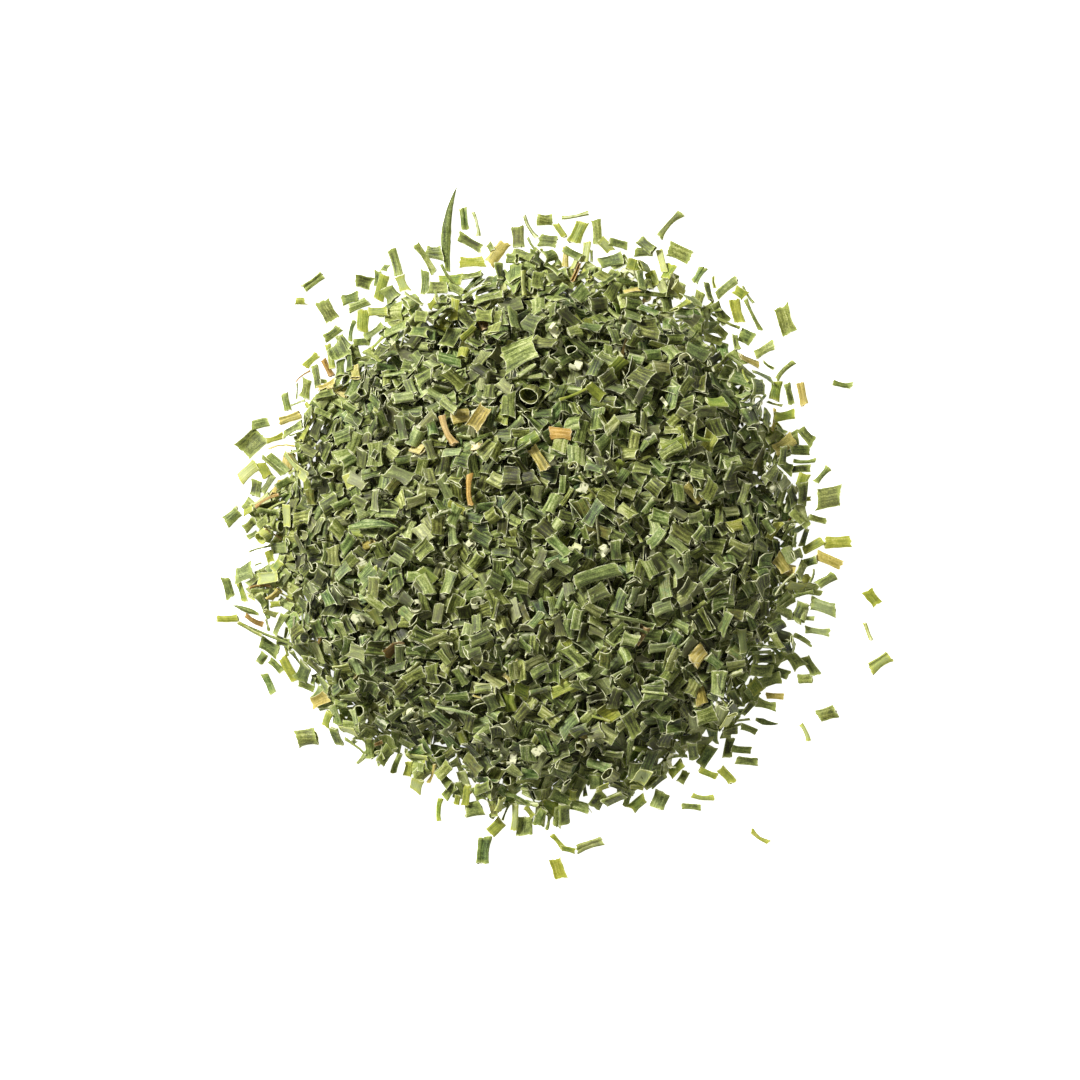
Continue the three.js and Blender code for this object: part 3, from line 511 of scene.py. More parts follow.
# form: maker, then the lowest, highest and commonest length, width and height of the heap's leaves
LEAF_SIZES = {
    "flat": (flat_leaf, (2.6, 5.4, 3.9), (1.6, 3.8, 2.6), (0.35, 1.1, 0.55)),
    "fold": (folded_leaf, (2.8, 5.2, 3.9), (1.5, 3.0, 2.1), (0.6, 1.2, 0.85)),
    "sheet": (opened_leaf, (2.5, 5.2, 3.8), (2.2, 4.6, 3.0), (0.1, 1.0, 0.35)),
    "tube": (round_leaf, (1.6, 4.6, 3.2), (2.0, 3.4, 2.6), (1.4, 3.0, 2.0)),
    "curl": (curled_leaf, (0.5, 1.6, 0.8), (1.6, 3.2, 2.2), (1.0, 1.0, 1.0)),
    "stick": (rolled_leaf, (2.6, 6.2, 4.2), (0.5, 1.4, 0.8), (0.4, 0.9, 0.6)),
    "scrap": (scrap_leaf, (1.0, 3.0, 1.8), (0.5, 2.2, 1.2), (0.1, 0.5, 0.2)),
    "tip": (leaf_tip, (6, 12, 8), (1.0, 2.2, 1.5), (0.5, 0.8, 0.6)),
    "ring": (round_leaf, (1.5, 2.5, 2.0), (2.6, 3.2, 2.9), (2.4, 3.0, 2.7)),
}


def leaf_mesh(name, bm):
    """A smooth leaf with crisp cut edges and side folds."""
    for face in bm.faces:
        face.smooth = True
    for edge in bm.edges:
        finishes = {face.material_index for face in edge.link_faces}
        edge.smooth = len(finishes) == 1 and edge.calc_face_angle(0) < SHARPEST_SMOOTH
    mesh = bpy.data.meshes.new(name)
    bm.to_mesh(mesh)
    bm.free()
    mesh.calc_loop_triangles()
    return mesh


def leaf_stock(rng):
    """The different leaves that the heap is laid from, by form: mesh and points all over it, in mm."""
    stock = {}
    for form, (count, _) in LEAF_FORMS.items():
        make, lengths, widths, heights = LEAF_SIZES[form]
        stock[form] = []
        for index in range(count):
            sizes = [rng.triangular(*limits) for limits in (lengths, widths, heights)]
            mesh = leaf_mesh(f"stock_{form}_{index}", make(rng, *sizes))
            stock[form].append((mesh, sample_points(mesh)))
    return stock


def sample_points(mesh, scale=1.0):
    """Points spread over every face of a mesh, close enough to feel what is under it. They are rounded and
    sorted, because Blender's order of faces isn't the same in every run."""
    corners = np.empty(len(mesh.vertices) * 3)
    mesh.vertices.foreach_get("co", corners)
    corners = corners.reshape(-1, 3) * scale
    mesh.calc_loop_triangles()
    triangles = np.empty(len(mesh.loop_triangles) * 3, dtype=int)
    mesh.loop_triangles.foreach_get("vertices", triangles)
    first, second, third = corners[triangles.reshape(-1, 3).T]
    steps = (0.0, 0.33, 0.67)
    spread = [first + a * (second - first) + b * (third - first) for a in steps for b in steps if a + b < 1]
    return np.unique(np.concatenate([*spread, corners]).round(3), axis=0)


# ---- Laying the heap ----


def steady(values):
    """Rounds off the last digits, which differ between computers and would change the whole heap."""
    return np.round(values, 6)


class LayingGrid:
    """How high the heap stands over each cell of the floor, in mm, and how high it may get there."""

    def __init__(self, corners):
        self.origin = corners.min(axis=0)[:2] - 4
        span = corners.max(axis=0)[:2] + 4 - self.origin
        self.shape = tuple(int(math.ceil(side / CELL)) for side in span)
        self.height = np.zeros(self.shape)
        self.ceiling = np.full(self.shape, 1000.0)

    def cells(self, points):
        at = ((points[:, :2] - self.origin) / CELL).astype(int)
        return np.clip(at[:, 0], 0, self.shape[0] - 1), np.clip(at[:, 1], 0, self.shape[1] - 1)

    def centre(self, cell):
        return self.origin + (np.array(cell) + 0.5) * CELL

    def lay(self, points, nest):
        """How far up a leaf rests, if a few of its points may sink into its neighbours."""
        return steady(np.percentile(self.height[self.cells(points)] - points[:, 2], nest))

    def fits(self, points):
        return bool(np.all(points[:, 2] < self.ceiling[self.cells(points)]))

    def cover(self, points):
        np.maximum.at(self.height, self.cells(points), steady(points[:, 2]))

    def slope(self, points):
        """The normal of the plane through what lies under the points."""
        middle = points.mean(axis=0)
        offsets = np.column_stack([points[:, :2] - middle[:2], np.ones(len(points))])
        plane = steady(np.linalg.lstsq(offsets, self.height[self.cells(points)], rcond=None)[0])
        return Vector((-plane[0], -plane[1], 1)).normalized()


def node_points(node):
    """A node's own corners, in mm."""
    piece = frame["nodes"][node]
    corners = np.empty(len(piece.data.vertices) * 3)
    piece.data.vertices.foreach_get("co", corners)
    turn = np.array(piece.matrix_world)
    return (corners.reshape(-1, 3) @ turn[:3, :3].T + turn[:3, 3]) / MM


def frame_points():
    """The corners of all the solids, in mm."""
    return np.vstack([node_points(part["node"]) for part in frame["record"]["subparts"]])


def heap_form(grid):
    """The height to fill over every cell: the heap solid's, smoothed over a leaf's width, in mm."""
    piece = frame["nodes"]["heap"]
    solid = bmesh.new()
    solid.from_mesh(piece.data)
    solid.transform(piece.matrix_world)
    tree = BVHTree.FromBMesh(solid)
    solid.free()
    form = np.zeros(grid.shape)
    for cell in np.ndindex(grid.shape):
        x, y = grid.centre(cell) * MM
        hit = tree.ray_cast(Vector((x, y, 1)), Vector((0, 0, -1)))[0]
        form[cell] = hit.z / MM if hit else 0
    return steady(smoothed(form, np.exp(-(np.arange(-4, 5) ** 2) / 8.0)) * LAID_SHARE)


def smoothed(field, kernel):
    """A field over the grid, averaged both ways with a kernel's weights."""
    for axis in (0, 1):
        field = np.apply_along_axis(lambda row: np.convolve(row, kernel / kernel.sum(), mode="same"), axis, field)
    return field


def quarter_turns(rng, form):
    """How a leaf is tilted out of the slope it lies on: pitch and roll, in radians."""
    if form == "tube" and rng.random() < 0.45:
        return rng.uniform(0.7, 1.5), rng.uniform(-0.4, 0.4)
    if form == "curl" or rng.random() < 0.14:
        return rng.uniform(-0.5, 0.5), rng.uniform(0.6, 1.6)
    return rng.gauss(0, 0.22), rng.gauss(0, 0.3)


def leaf_turn(slope, heading, pitch, roll):
    lie = Vector((0, 0, 1)).rotation_difference(slope).to_matrix()
    turn = Matrix.Rotation(heading, 3, "Z") @ Matrix.Rotation(pitch, 3, "Y") @ Matrix.Rotation(roll, 3, "X")
    return lie @ turn


def settle(rng, grid, form, points, place, tries=4):
    """The snuggest of a few ways for a leaf to lie at a place, as a matrix in mm, or None if none fits."""
    best = None
    for _ in range(tries):
        heading = rng.uniform(0, 2 * math.pi)
        flat = points @ np.array(Matrix.Rotation(heading, 3, "Z")).T + np.array([*place, 0])
        turn = leaf_turn(grid.slope(flat), heading, *quarter_turns(rng, form))
        turned = steady(points @ np.array(turn).T + np.array([*place, 0]))
        turned[:, 2] += grid.lay(turned, 95)
        turned[:, 2] += max(0.0, -turned[:, 2].min())
        looseness = steady(np.mean(turned[:, 2] - grid.height[grid.cells(turned)]))
        if grid.fits(turned) and (best is None or looseness < best[0]):
            best = looseness, turn, turned
    if best is None:
        return None
    _, turn, turned = best
    grid.cover(turned)
    shift = turned.mean(axis=0) - points.mean(axis=0) @ np.array(turn).T
    return Matrix.Translation(Vector(shift)) @ turn.to_4x4()


def pick_leaf(rng, stock):
    form = rng.choices(list(LEAF_FORMS), [share for _, share in LEAF_FORMS.values()])[0]
    return form, *rng.choice(stock[form])


def laid_heap(rng, grid, target, stock):
    """Lays leaf after leaf where the heap is furthest below its form."""
    laid = []
    refused = np.zeros(grid.shape, dtype=int)
    slack = laying_slack(grid, target)
    while True:
        short = target - grid.height - 0.25 * refused - slack
        places = np.flatnonzero(short > 0)
        if len(places) == 0:
            return laid
        weights = (short.ravel()[places] + 0.3) ** 2
        chosen = rng.choices(list(places), list(weights), k=max(1, min(24, len(places) // 12)))
        for place in chosen:
            cell = np.unravel_index(place, grid.shape)
            if target[cell] - grid.height[cell] < slack[cell]:
                continue
            form, mesh, points = pick_leaf(rng, stock)
            matrix = settle(rng, grid, form, points, grid.centre(cell))
            refused[cell] += 1
            if matrix:
                slot = rng.choices(list(COLOUR_SHARES), list(COLOUR_SHARES.values()))[0]
                laid.append(Leaf(mesh, points, matrix, slot, leaf_marks(rng)))


def beyond_foot(grid, target):
    """How far out of the heap's foot every cell lies, in mm, and in which direction from the middle."""
    x, y = np.meshgrid(*(grid.origin[axis] + (np.arange(grid.shape[axis]) + 0.5) * CELL for axis in (0, 1)),
                       indexing="ij")
    angles = np.linspace(-math.pi, math.pi, 73)
    feet = [foot_radius(grid, target, angle) for angle in angles]
    directions = np.arctan2(y, x)
    return steady(np.hypot(x, y) - np.interp(directions, angles, feet)), directions


def laying_slack(grid, target):
    """How far below the heap's form a place may stay: little inside, but more at the thin edge."""
    edge = np.clip(1 + beyond_foot(grid, target)[0] / THIN_EDGE, 0, 1)
    return steady(LAYING_SLACK + (np.maximum(target, LAYING_SLACK) - LAYING_SLACK) * 0.8 * edge**1.5)


def placed_fringe(rng, grid):
    """The leaves near the foot that have their own place. The dark ones lie lowest."""
    laid = []
    order = list(FRINGE_TONES)
    for form, x, y, heading, length, width, tone in sorted(FRINGE_LEAVES, key=lambda row: order.index(row[-1])):
        make, _, _, heights = LEAF_SIZES[form]
        height = rng.triangular(*heights)
        bm = make(rng, length, width, min(height, LOWEST_RISE.get(form, height)))
        mesh = leaf_mesh(f"fringe_{len(laid)}", bm)
        points = sample_points(mesh)
        angle = math.radians(heading)
        flat = points @ np.array(Matrix.Rotation(angle, 3, "Z")).T + np.array([x, y, 0])
        upright = math.pi / 2 if form == "ring" else 0.0
        turn = leaf_turn(grid.slope(flat), angle, upright + rng.gauss(0, 0.05), rng.gauss(0, 0.08))
        turned = steady(points @ np.array(turn).T + np.array([x, y, 0]))
        lift = max(grid.lay(turned, 92), -turned[:, 2].min())
        turned[:, 2] += lift
        grid.cover(turned)
        slot, marks = fringe_marks(rng, tone)
        laid.append(Leaf(mesh, points, Matrix.Translation((x, y, lift)) @ turn.to_4x4(), slot, marks))
    return laid


def fringe_marks(rng, tone):
    """The finish and the marks of a leaf near the foot, by the name of its tone."""
    slot, level, bleach, age = FRINGE_TONES[tone]
    marks = {
        "tone": min(1.0, max(0.0, rng.gauss(level, 0.07))),
        "warmth": min(1.0, max(0.0, rng.gauss(0.62, 0.22))),
        "bleach": bleach,
        "age": age * rng.uniform(0.5, 1.0),
        # painted glow: every leaf near the foot is painted as lit through by the floor
        "glow": 1.0,
    }
    return slot, marks


def filled_fringe(rng, grid, target, stock):
    """More leaves that slid off, where too little of the floor past the foot is covered."""
    laid = []
    beyond, directions = beyond_foot(grid, target)
    around = np.radians(np.arange(0, 375, 15))
    reaches = np.interp(directions % (2 * math.pi), around, [*FRINGE_REACHES, FRINGE_REACHES[0]])
    wanted = steady(np.clip(0.92 - 0.6 * beyond / reaches, 0, 0.97) * (beyond > -6))
    window = np.ones(2 * FRINGE_WINDOW + 1)
    barred = grid.ceiling <= 0
    while len(laid) < MOST_FRINGE:
        bare = grid.height < 0.05
        covered = steady(smoothed((~bare | (grid.ceiling <= 0)).astype(float), window))
        lack = (wanted - covered) * (bare & ~barred)
        places = np.flatnonzero(lack > 0.05)
        if len(places) == 0:
            break
        for place in rng.choices(list(places), list(lack.ravel()[places]), k=6):
            cell = np.unravel_index(place, grid.shape)
            form, mesh, points = pick_leaf(rng, stock)
            matrix = None
            if form not in ("tip", "tube", "curl") and grid.height[cell] < 0.05:
                matrix = settle(rng, grid, form, points, grid.centre(cell), 6)
            if matrix:
                slot, marks = fringe_marks(rng, rng.choice(FILLING_TONES))
                laid.append(Leaf(mesh, points, matrix, slot, marks))
            elif rng.random() < 0.3:
                barred[cell] = True
    return laid


def showing(grid, laid):
    """The leaves that aren't buried under the others."""
    kept = []
    for leaf in laid:
        turn = np.array(leaf.matrix)
        turned = leaf.points @ turn[:3, :3].T + turn[:3, 3]
        if np.min(grid.height[grid.cells(turned)] - turned[:, 2]) < HIDDEN_DEPTH:
            kept.append(leaf)
    return kept


def foot_radius(grid, target, angle):
    """How far out the heap's form reaches in a direction, in mm."""
    radii = np.arange(40.0, 62.0, 0.4)
    along = np.column_stack([radii * math.cos(angle), radii * math.sin(angle), np.zeros(len(radii))])
    inside = radii[target[grid.cells(along)] > LAYING_SLACK]
    return float(inside.max()) if len(inside) else 50.0


# ---- Gathering the laid leaves into pieces ----


def leaf_copy(gathered, mesh, matrix, marks):
    """One more leaf, in metres, with its own marks, such as its tone, on every point."""
    copy = mesh.copy()
    copy.transform(Matrix.Scale(MM, 4) @ matrix)
    for name, value in marks.items():
        layer = copy.attributes.new(name, "FLOAT", "POINT")
        layer.data.foreach_set("value", [value] * len(copy.vertices))
    gathered.from_mesh(copy)
    bpy.data.meshes.remove(copy)


def leaf_marks(rng):
    """A leaf's tone from dark to light, its warmth from sage to olive, how far it has bleached or browned,
    and how much painted glow its edges get, standing in for the floor's light coming through them."""
    return {
        "tone": min(1.0, max(0.0, rng.gauss(0.38, 0.19))),
        "warmth": min(1.0, max(0.0, rng.gauss(0.57, 0.3))),
        "bleach": rng.betavariate(0.4, 7),
        "age": rng.betavariate(0.6, 7),
        "glow": 0.0,
    }


def add_piece(name, mesh):
    piece = bpy.data.objects.new(name, mesh)
    bpy.context.scene.collection.objects.link(piece)
    return piece


def dress(piece, materials, nodes, slot):
    """Gives a leaf piece its three finishes and its place in the frame."""
    for material in materials:
        piece.data.materials.append(material)
    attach(piece, BODY)
    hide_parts(*nodes)


def gather(name, leaves, finishes, slot):
    """One piece of many leaves. The ones at the thin edge are painted lighter and get painted glow, for the floor's
    light coming through them.
    """
    gathered = bmesh.new()
    for leaf in leaves:
        place = leaf.matrix.translation
        edge = min(1.0, max(0.0, (math.hypot(place.x, place.y) - 43) / 8)) * (place.z < 5)
        # painted light: leaves near the thin edge get a lighter tone, for the floor's light coming through them
        lit = {
            "tone": min(1.0, leaf.marks["tone"] + EDGE_LIGHT * max(0.0, edge - leaf.marks["glow"])),
            "glow": max(edge, leaf.marks["glow"]),
        }
        leaf_copy(gathered, leaf.mesh, leaf.matrix, {**leaf.marks, **lit})
    mesh = bpy.data.meshes.new(name)
    gathered.to_mesh(mesh)
    gathered.free()
    dress(add_piece(name, mesh), finishes[slot], ["heap"], slot)


def batches(leaves):
    """Leaves in the order they were laid, in runs that each make one piece."""
    run, triangles = [], 0
    for leaf in leaves:
        size = len(leaf.mesh.loop_triangles)
        if triangles + size > MOST_TRIANGLES:
            yield run
            run, triangles = [], 0
        run.append(leaf)
        triangles += size
    yield run


def core_piece(grid, target, material):
    """The heap's inside: a dome that keeps under the laid leaves, coloured dark as painted shade of the leaves deep in
    the heap.
    """
    bm = bmesh.new()
    bmesh.ops.create_uvsphere(bm, u_segments=48, v_segments=24, radius=1.0)
    bmesh.ops.bisect_plane(bm, geom=bm.verts[:] + bm.edges[:] + bm.faces[:], plane_co=(0, 0, 0),
                           plane_no=(0, 0, -1), clear_outer=True)
    rim = [edge for edge in bm.edges if edge.is_boundary]
    bmesh.ops.holes_fill(bm, edges=rim, sides=0)
    for vert in bm.verts:
        spread = math.hypot(vert.co.x, vert.co.y)
        angle = math.atan2(vert.co.y, vert.co.x)
        reach = (foot_radius(grid, target, angle) - 1.5 * CORE_DEPTH) * min(1.0, spread)
        x, y = reach * math.cos(angle), reach * math.sin(angle)
        cell = grid.cells(np.array([[x, y, 0.0]]))
        top = max(0.4, float(target[cell][0]) - CORE_DEPTH)
        vert.co = Vector((x, y, 0.2 if vert.co.z < 0.01 else top)) * MM
    bmesh.ops.recalc_face_normals(bm, faces=bm.faces)
    mesh = bpy.data.meshes.new("heap_core_painted_shade")
    bm.to_mesh(mesh)
    bm.free()
    piece = add_piece("heap_core_painted_shade", mesh)
    mesh.materials.append(material)
    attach(piece, BODY)
    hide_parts("heap")


# ---- The single leaves ----


def node_axes(points):
    """A node's middle, its long, wide and thin directions, and its size along each, in mm."""
    middle = (points.min(axis=0) + points.max(axis=0)) / 2
    _, _, directions = np.linalg.svd(points - points.mean(axis=0), full_matrices=False)
    long, wide, thin = directions
    if thin[2] < 0:
        thin = -thin
    heavy_end = round(float((((points - points.mean(axis=0)) @ long) ** 3).sum()), 3)
    if heavy_end < 0 or (heavy_end == 0 and long[0] < 0):
        long = -long
    wide = np.cross(thin, long)
    turned = points @ np.column_stack([long, wide, thin])
    low, high = turned.min(axis=0), turned.max(axis=0)
    middle = np.column_stack([long, wide, thin]) @ ((low + high) / 2)
    matrix = Matrix([[*row, shift] for row, shift in zip(np.column_stack([long, wide, thin]).tolist(), middle)]
                    + [[0, 0, 0, 1]])
    return matrix, high - low


def bow_along(points, matrix, length):
    """How far a leaf's two ends lie to its left of its middle, in mm."""
    along, across = (points @ np.array(matrix.to_3x3()))[:, :2].T
    along = (along - (along.min() + along.max()) / 2) / length
    return float(across[abs(along) > 0.4].mean() - across[abs(along) < 0.2].mean())


def single_leaf(rng, form, size, bow):
    """A leaf that is seen by itself, with more faces, and real ribs on the flat, round and opened leaves."""
    length, width, height = size
    if form == "flat":
        bm = flat_leaf(rng, length, width, min(1.1, max(height, 0.7)), sides=40, steps=7)
    elif form == "tube":
        bm = round_leaf(rng, length, width, height, sides=32, steps=6)
    elif form == "sheet":
        bm = opened_leaf(rng, length, width * 1.05, SHEET_RISE, across=24, along=7)
    elif form == "tip":
        return leaf_tip(rng, length, width - 0.55 * abs(bow), height, sides=16, steps=24, bow=bow)
    else:
        return rolled_leaf(rng, length, width, height, sides=16, steps=8)
    return ribbed(rng, bm, length, width, 0.035)


def single_marks(rng, where):
    marks = leaf_marks(rng)
    marks["tone"] = min(0.66, max(0.46, marks["tone"] + 0.1))
    marks["warmth"] = min(1.0, marks["warmth"] + 0.12)
    # painted glow: loose leaves are painted as lit through by the floor, leaves on the heap a little
    marks["glow"] = 1.0 if where == "loose" else 0.25
    return marks


def single_pieces(rng, grid, finishes):
    """A finer leaf for each single solid, in its place. What lies on the heap keeps the laid leaves below it."""
    slots = {part["node"]: part["material_slot"] for part in frame["record"]["subparts"]}
    for node in sorted(slots):
        if node == "heap":
            continue
        where, form, _ = node.split("_")
        points = node_points(node)
        matrix, size = node_axes(points)
        mesh = leaf_mesh(node + "_leaf", single_leaf(rng, form, size, bow_along(points, matrix, size[0])))
        gathered = bmesh.new()
        matrix = matrix @ Matrix.Rotation(TURNED_UP.get(node, 0.0), 4, "Y")
        marks = single_marks(rng, where)
        marks["tone"] = SINGLE_TONES.get(node, marks["tone"])
        leaf_copy(gathered, mesh, matrix, marks)
        if where == "loose":
            lowest = min(vert.co.z for vert in gathered.verts)
            bmesh.ops.translate(gathered, verts=gathered.verts, vec=(0, 0, -lowest))
        gathered.to_mesh(mesh)
        gathered.free()
        dress(add_piece(node + "_leaf", mesh), finishes[slots[node]], [node], slots[node])
        above = sample_points(mesh, 1 / MM)
        if where == "loose":
            grid.cover(above)
        np.minimum.at(grid.ceiling, grid.cells(above), 0 if where == "loose" else points[:, 2].min() - 0.2)


# ---- Finishes ----


def linear(code):
    """A colour from its sRGB hex code."""
    parts = [int(code[i : i + 2], 16) / 255 for i in (1, 3, 5)]
    return (*(c / 12.92 if c <= 0.04045 else ((c + 0.055) / 1.055) ** 2.4 for c in parts), 1.0)


def feed(tree, socket, value):
    """Links a socket to another one, or sets it to a plain value."""
    if isinstance(value, bpy.types.NodeSocket):
        tree.links.new(value, socket)
    else:
        socket.default_value = value


def node_group(name, inputs, outputs):
    """An empty shader node group with its named sockets, and its inner input and output nodes."""
    group = bpy.data.node_groups.new(name, "ShaderNodeTree")
    for kind, socket, value in inputs:
        made = group.interface.new_socket(socket, in_out="INPUT", socket_type=kind)
        made.default_value = value
    for socket in outputs:
        group.interface.new_socket(socket, in_out="OUTPUT", socket_type="NodeSocketFloat")
    return group, group.nodes.new("NodeGroupInput"), group.nodes.new("NodeGroupOutput")


def place_group(tree, group, **given):
    """A group's node in a tree, with its inputs fed. Gives its outputs."""
    node = tree.nodes.new("ShaderNodeGroup")
    node.node_tree = group
    for socket, value in given.items():
        feed(tree, node.inputs[socket], value)
    return node.outputs


def math_node(tree, operation, first, second, third=0.0, clamp=False):
    node = tree.nodes.new("ShaderNodeMath")
    node.operation = operation
    node.use_clamp = clamp
    for socket, value in zip(node.inputs, (first, second, third)):
        feed(tree, socket, value)
    return node.outputs[0]


def ramp_up(tree, value, low, high):
    """0 up to one value and 1 from another, with a smooth step between them."""
    node = tree.nodes.new("ShaderNodeMapRange")
    node.interpolation_type = "SMOOTHSTEP"
    feed(tree, node.inputs["Value"], value)
    node.inputs["From Min"].default_value = low
    node.inputs["From Max"].default_value = high
    return node.outputs["Result"]


def centred(tree, value, strength, base):
    """A base value, moved up and down by noise that is spread round a half."""
    return math_node(tree, "MULTIPLY_ADD", math_node(tree, "SUBTRACT", value, 0.5), strength, base)


def mix_colour(tree, share, first, second, blend="MIX"):
    node = tree.nodes.new("ShaderNodeMix")
    node.data_type = "RGBA"
    node.blend_type = blend
    for socket, value in ((node.inputs[0], share), (node.inputs[6], first), (node.inputs[7], second)):
        feed(tree, socket, value)
    return node.outputs[2]


def spread_noise(tree, vector, scale, detail=3.0):
    node = tree.nodes.new("ShaderNodeTexNoise")
    node.inputs["Scale"].default_value = scale
    node.inputs["Detail"].default_value = detail
    tree.links.new(vector, node.inputs["Vector"])
    return node.outputs["Fac"]


def attribute(tree, name):
    node = tree.nodes.new("ShaderNodeAttribute")
    node.attribute_name = name
    return node.outputs["Fac"]


def streak_noise(tree, across, along, own, per_mm, stretch):
    """Noise drawn out along a leaf: so many streaks a mm across it, and so many times as long as wide."""
    place = tree.nodes.new("ShaderNodeCombineXYZ")
    feed(tree, place.inputs[0], math_node(tree, "MULTIPLY", across, per_mm))
    feed(tree, place.inputs[1], math_node(tree, "MULTIPLY", along, per_mm / stretch))
    feed(tree, place.inputs[2], math_node(tree, "MULTIPLY", own, 10 * per_mm))
    return spread_noise(tree, place.outputs[0], 1.0, 2.0)


def ribs_group():
    """What runs along a leaf: fine ribs, broad bands, pale veins and dark creases, and the ribs' height."""
    group, given, put = node_group(
        "leaf_ribs",
        [("NodeSocketVector", "Leaf Map", (0, 0, 0)), ("NodeSocketFloat", "Own", 0.0)],
        ["Ribs", "Bands", "Pale", "Dark", "Height"],
    )
    parts = group.nodes.new("ShaderNodeSeparateXYZ")
    group.links.new(given.outputs["Leaf Map"], parts.inputs[0])
    across, along, own = parts.outputs["X"], parts.outputs["Y"], given.outputs["Own"]
    ribs = streak_noise(group, across, along, own, 0.7 * RIBS_PER_MM, 14)
    bands = streak_noise(group, across, along, own, 0.9, 5)
    veins = streak_noise(group, across, along, own, 1.9, 12)
    wave = math_node(group, "SINE", math_node(group, "MULTIPLY", across, 2 * math.pi * RIBS_PER_MM), 0.0)
    group.links.new(ribs, put.inputs["Ribs"])
    group.links.new(bands, put.inputs["Bands"])
    group.links.new(ramp_up(group, veins, 0.56, 0.68), put.inputs["Pale"])
    group.links.new(ramp_up(group, veins, 0.44, 0.34), put.inputs["Dark"])
    height = math_node(group, "MULTIPLY_ADD", wave, 0.16, math_node(group, "ADD", ribs, veins))
    group.links.new(height, put.inputs["Height"])
    return group


def ends_group():
    """How close a point is to a cut end or a side fold: a soft glow over the flare, and a thin line at the cut, which
    along a side fold is a painted highlight.
    """
    group, given, put = node_group(
        "cut_ends",
        [("NodeSocketFloat", "To End", 1.0), ("NodeSocketFloat", "Noise", 0.5), ("NodeSocketFloat", "Reach", 1.0)],
        ["Flare", "Cut"],
    )
    ragged = centred(group, given.outputs["Noise"], -0.6, given.outputs["To End"])
    near = math_node(group, "DIVIDE", ragged, given.outputs["Reach"])
    group.links.new(math_node(group, "SUBTRACT", 1.0, near, clamp=True), put.inputs["Flare"])
    group.links.new(ramp_up(group, ragged, 0.12, 0.0), put.inputs["Cut"])
    return group


def tone_ramp(tree, place, codes):
    """Colours from dark to light, evenly spaced."""
    ramp = tree.nodes.new("ShaderNodeValToRGB")
    stops = ramp.color_ramp.elements
    for _ in codes[2:]:
        stops.new(0.5)
    for index, code in enumerate(codes):
        stops[index].position = index / (len(codes) - 1)
        stops[index].color = linear(code)
    tree.links.new(place, ramp.inputs["Fac"])
    return ramp.outputs["Color"]


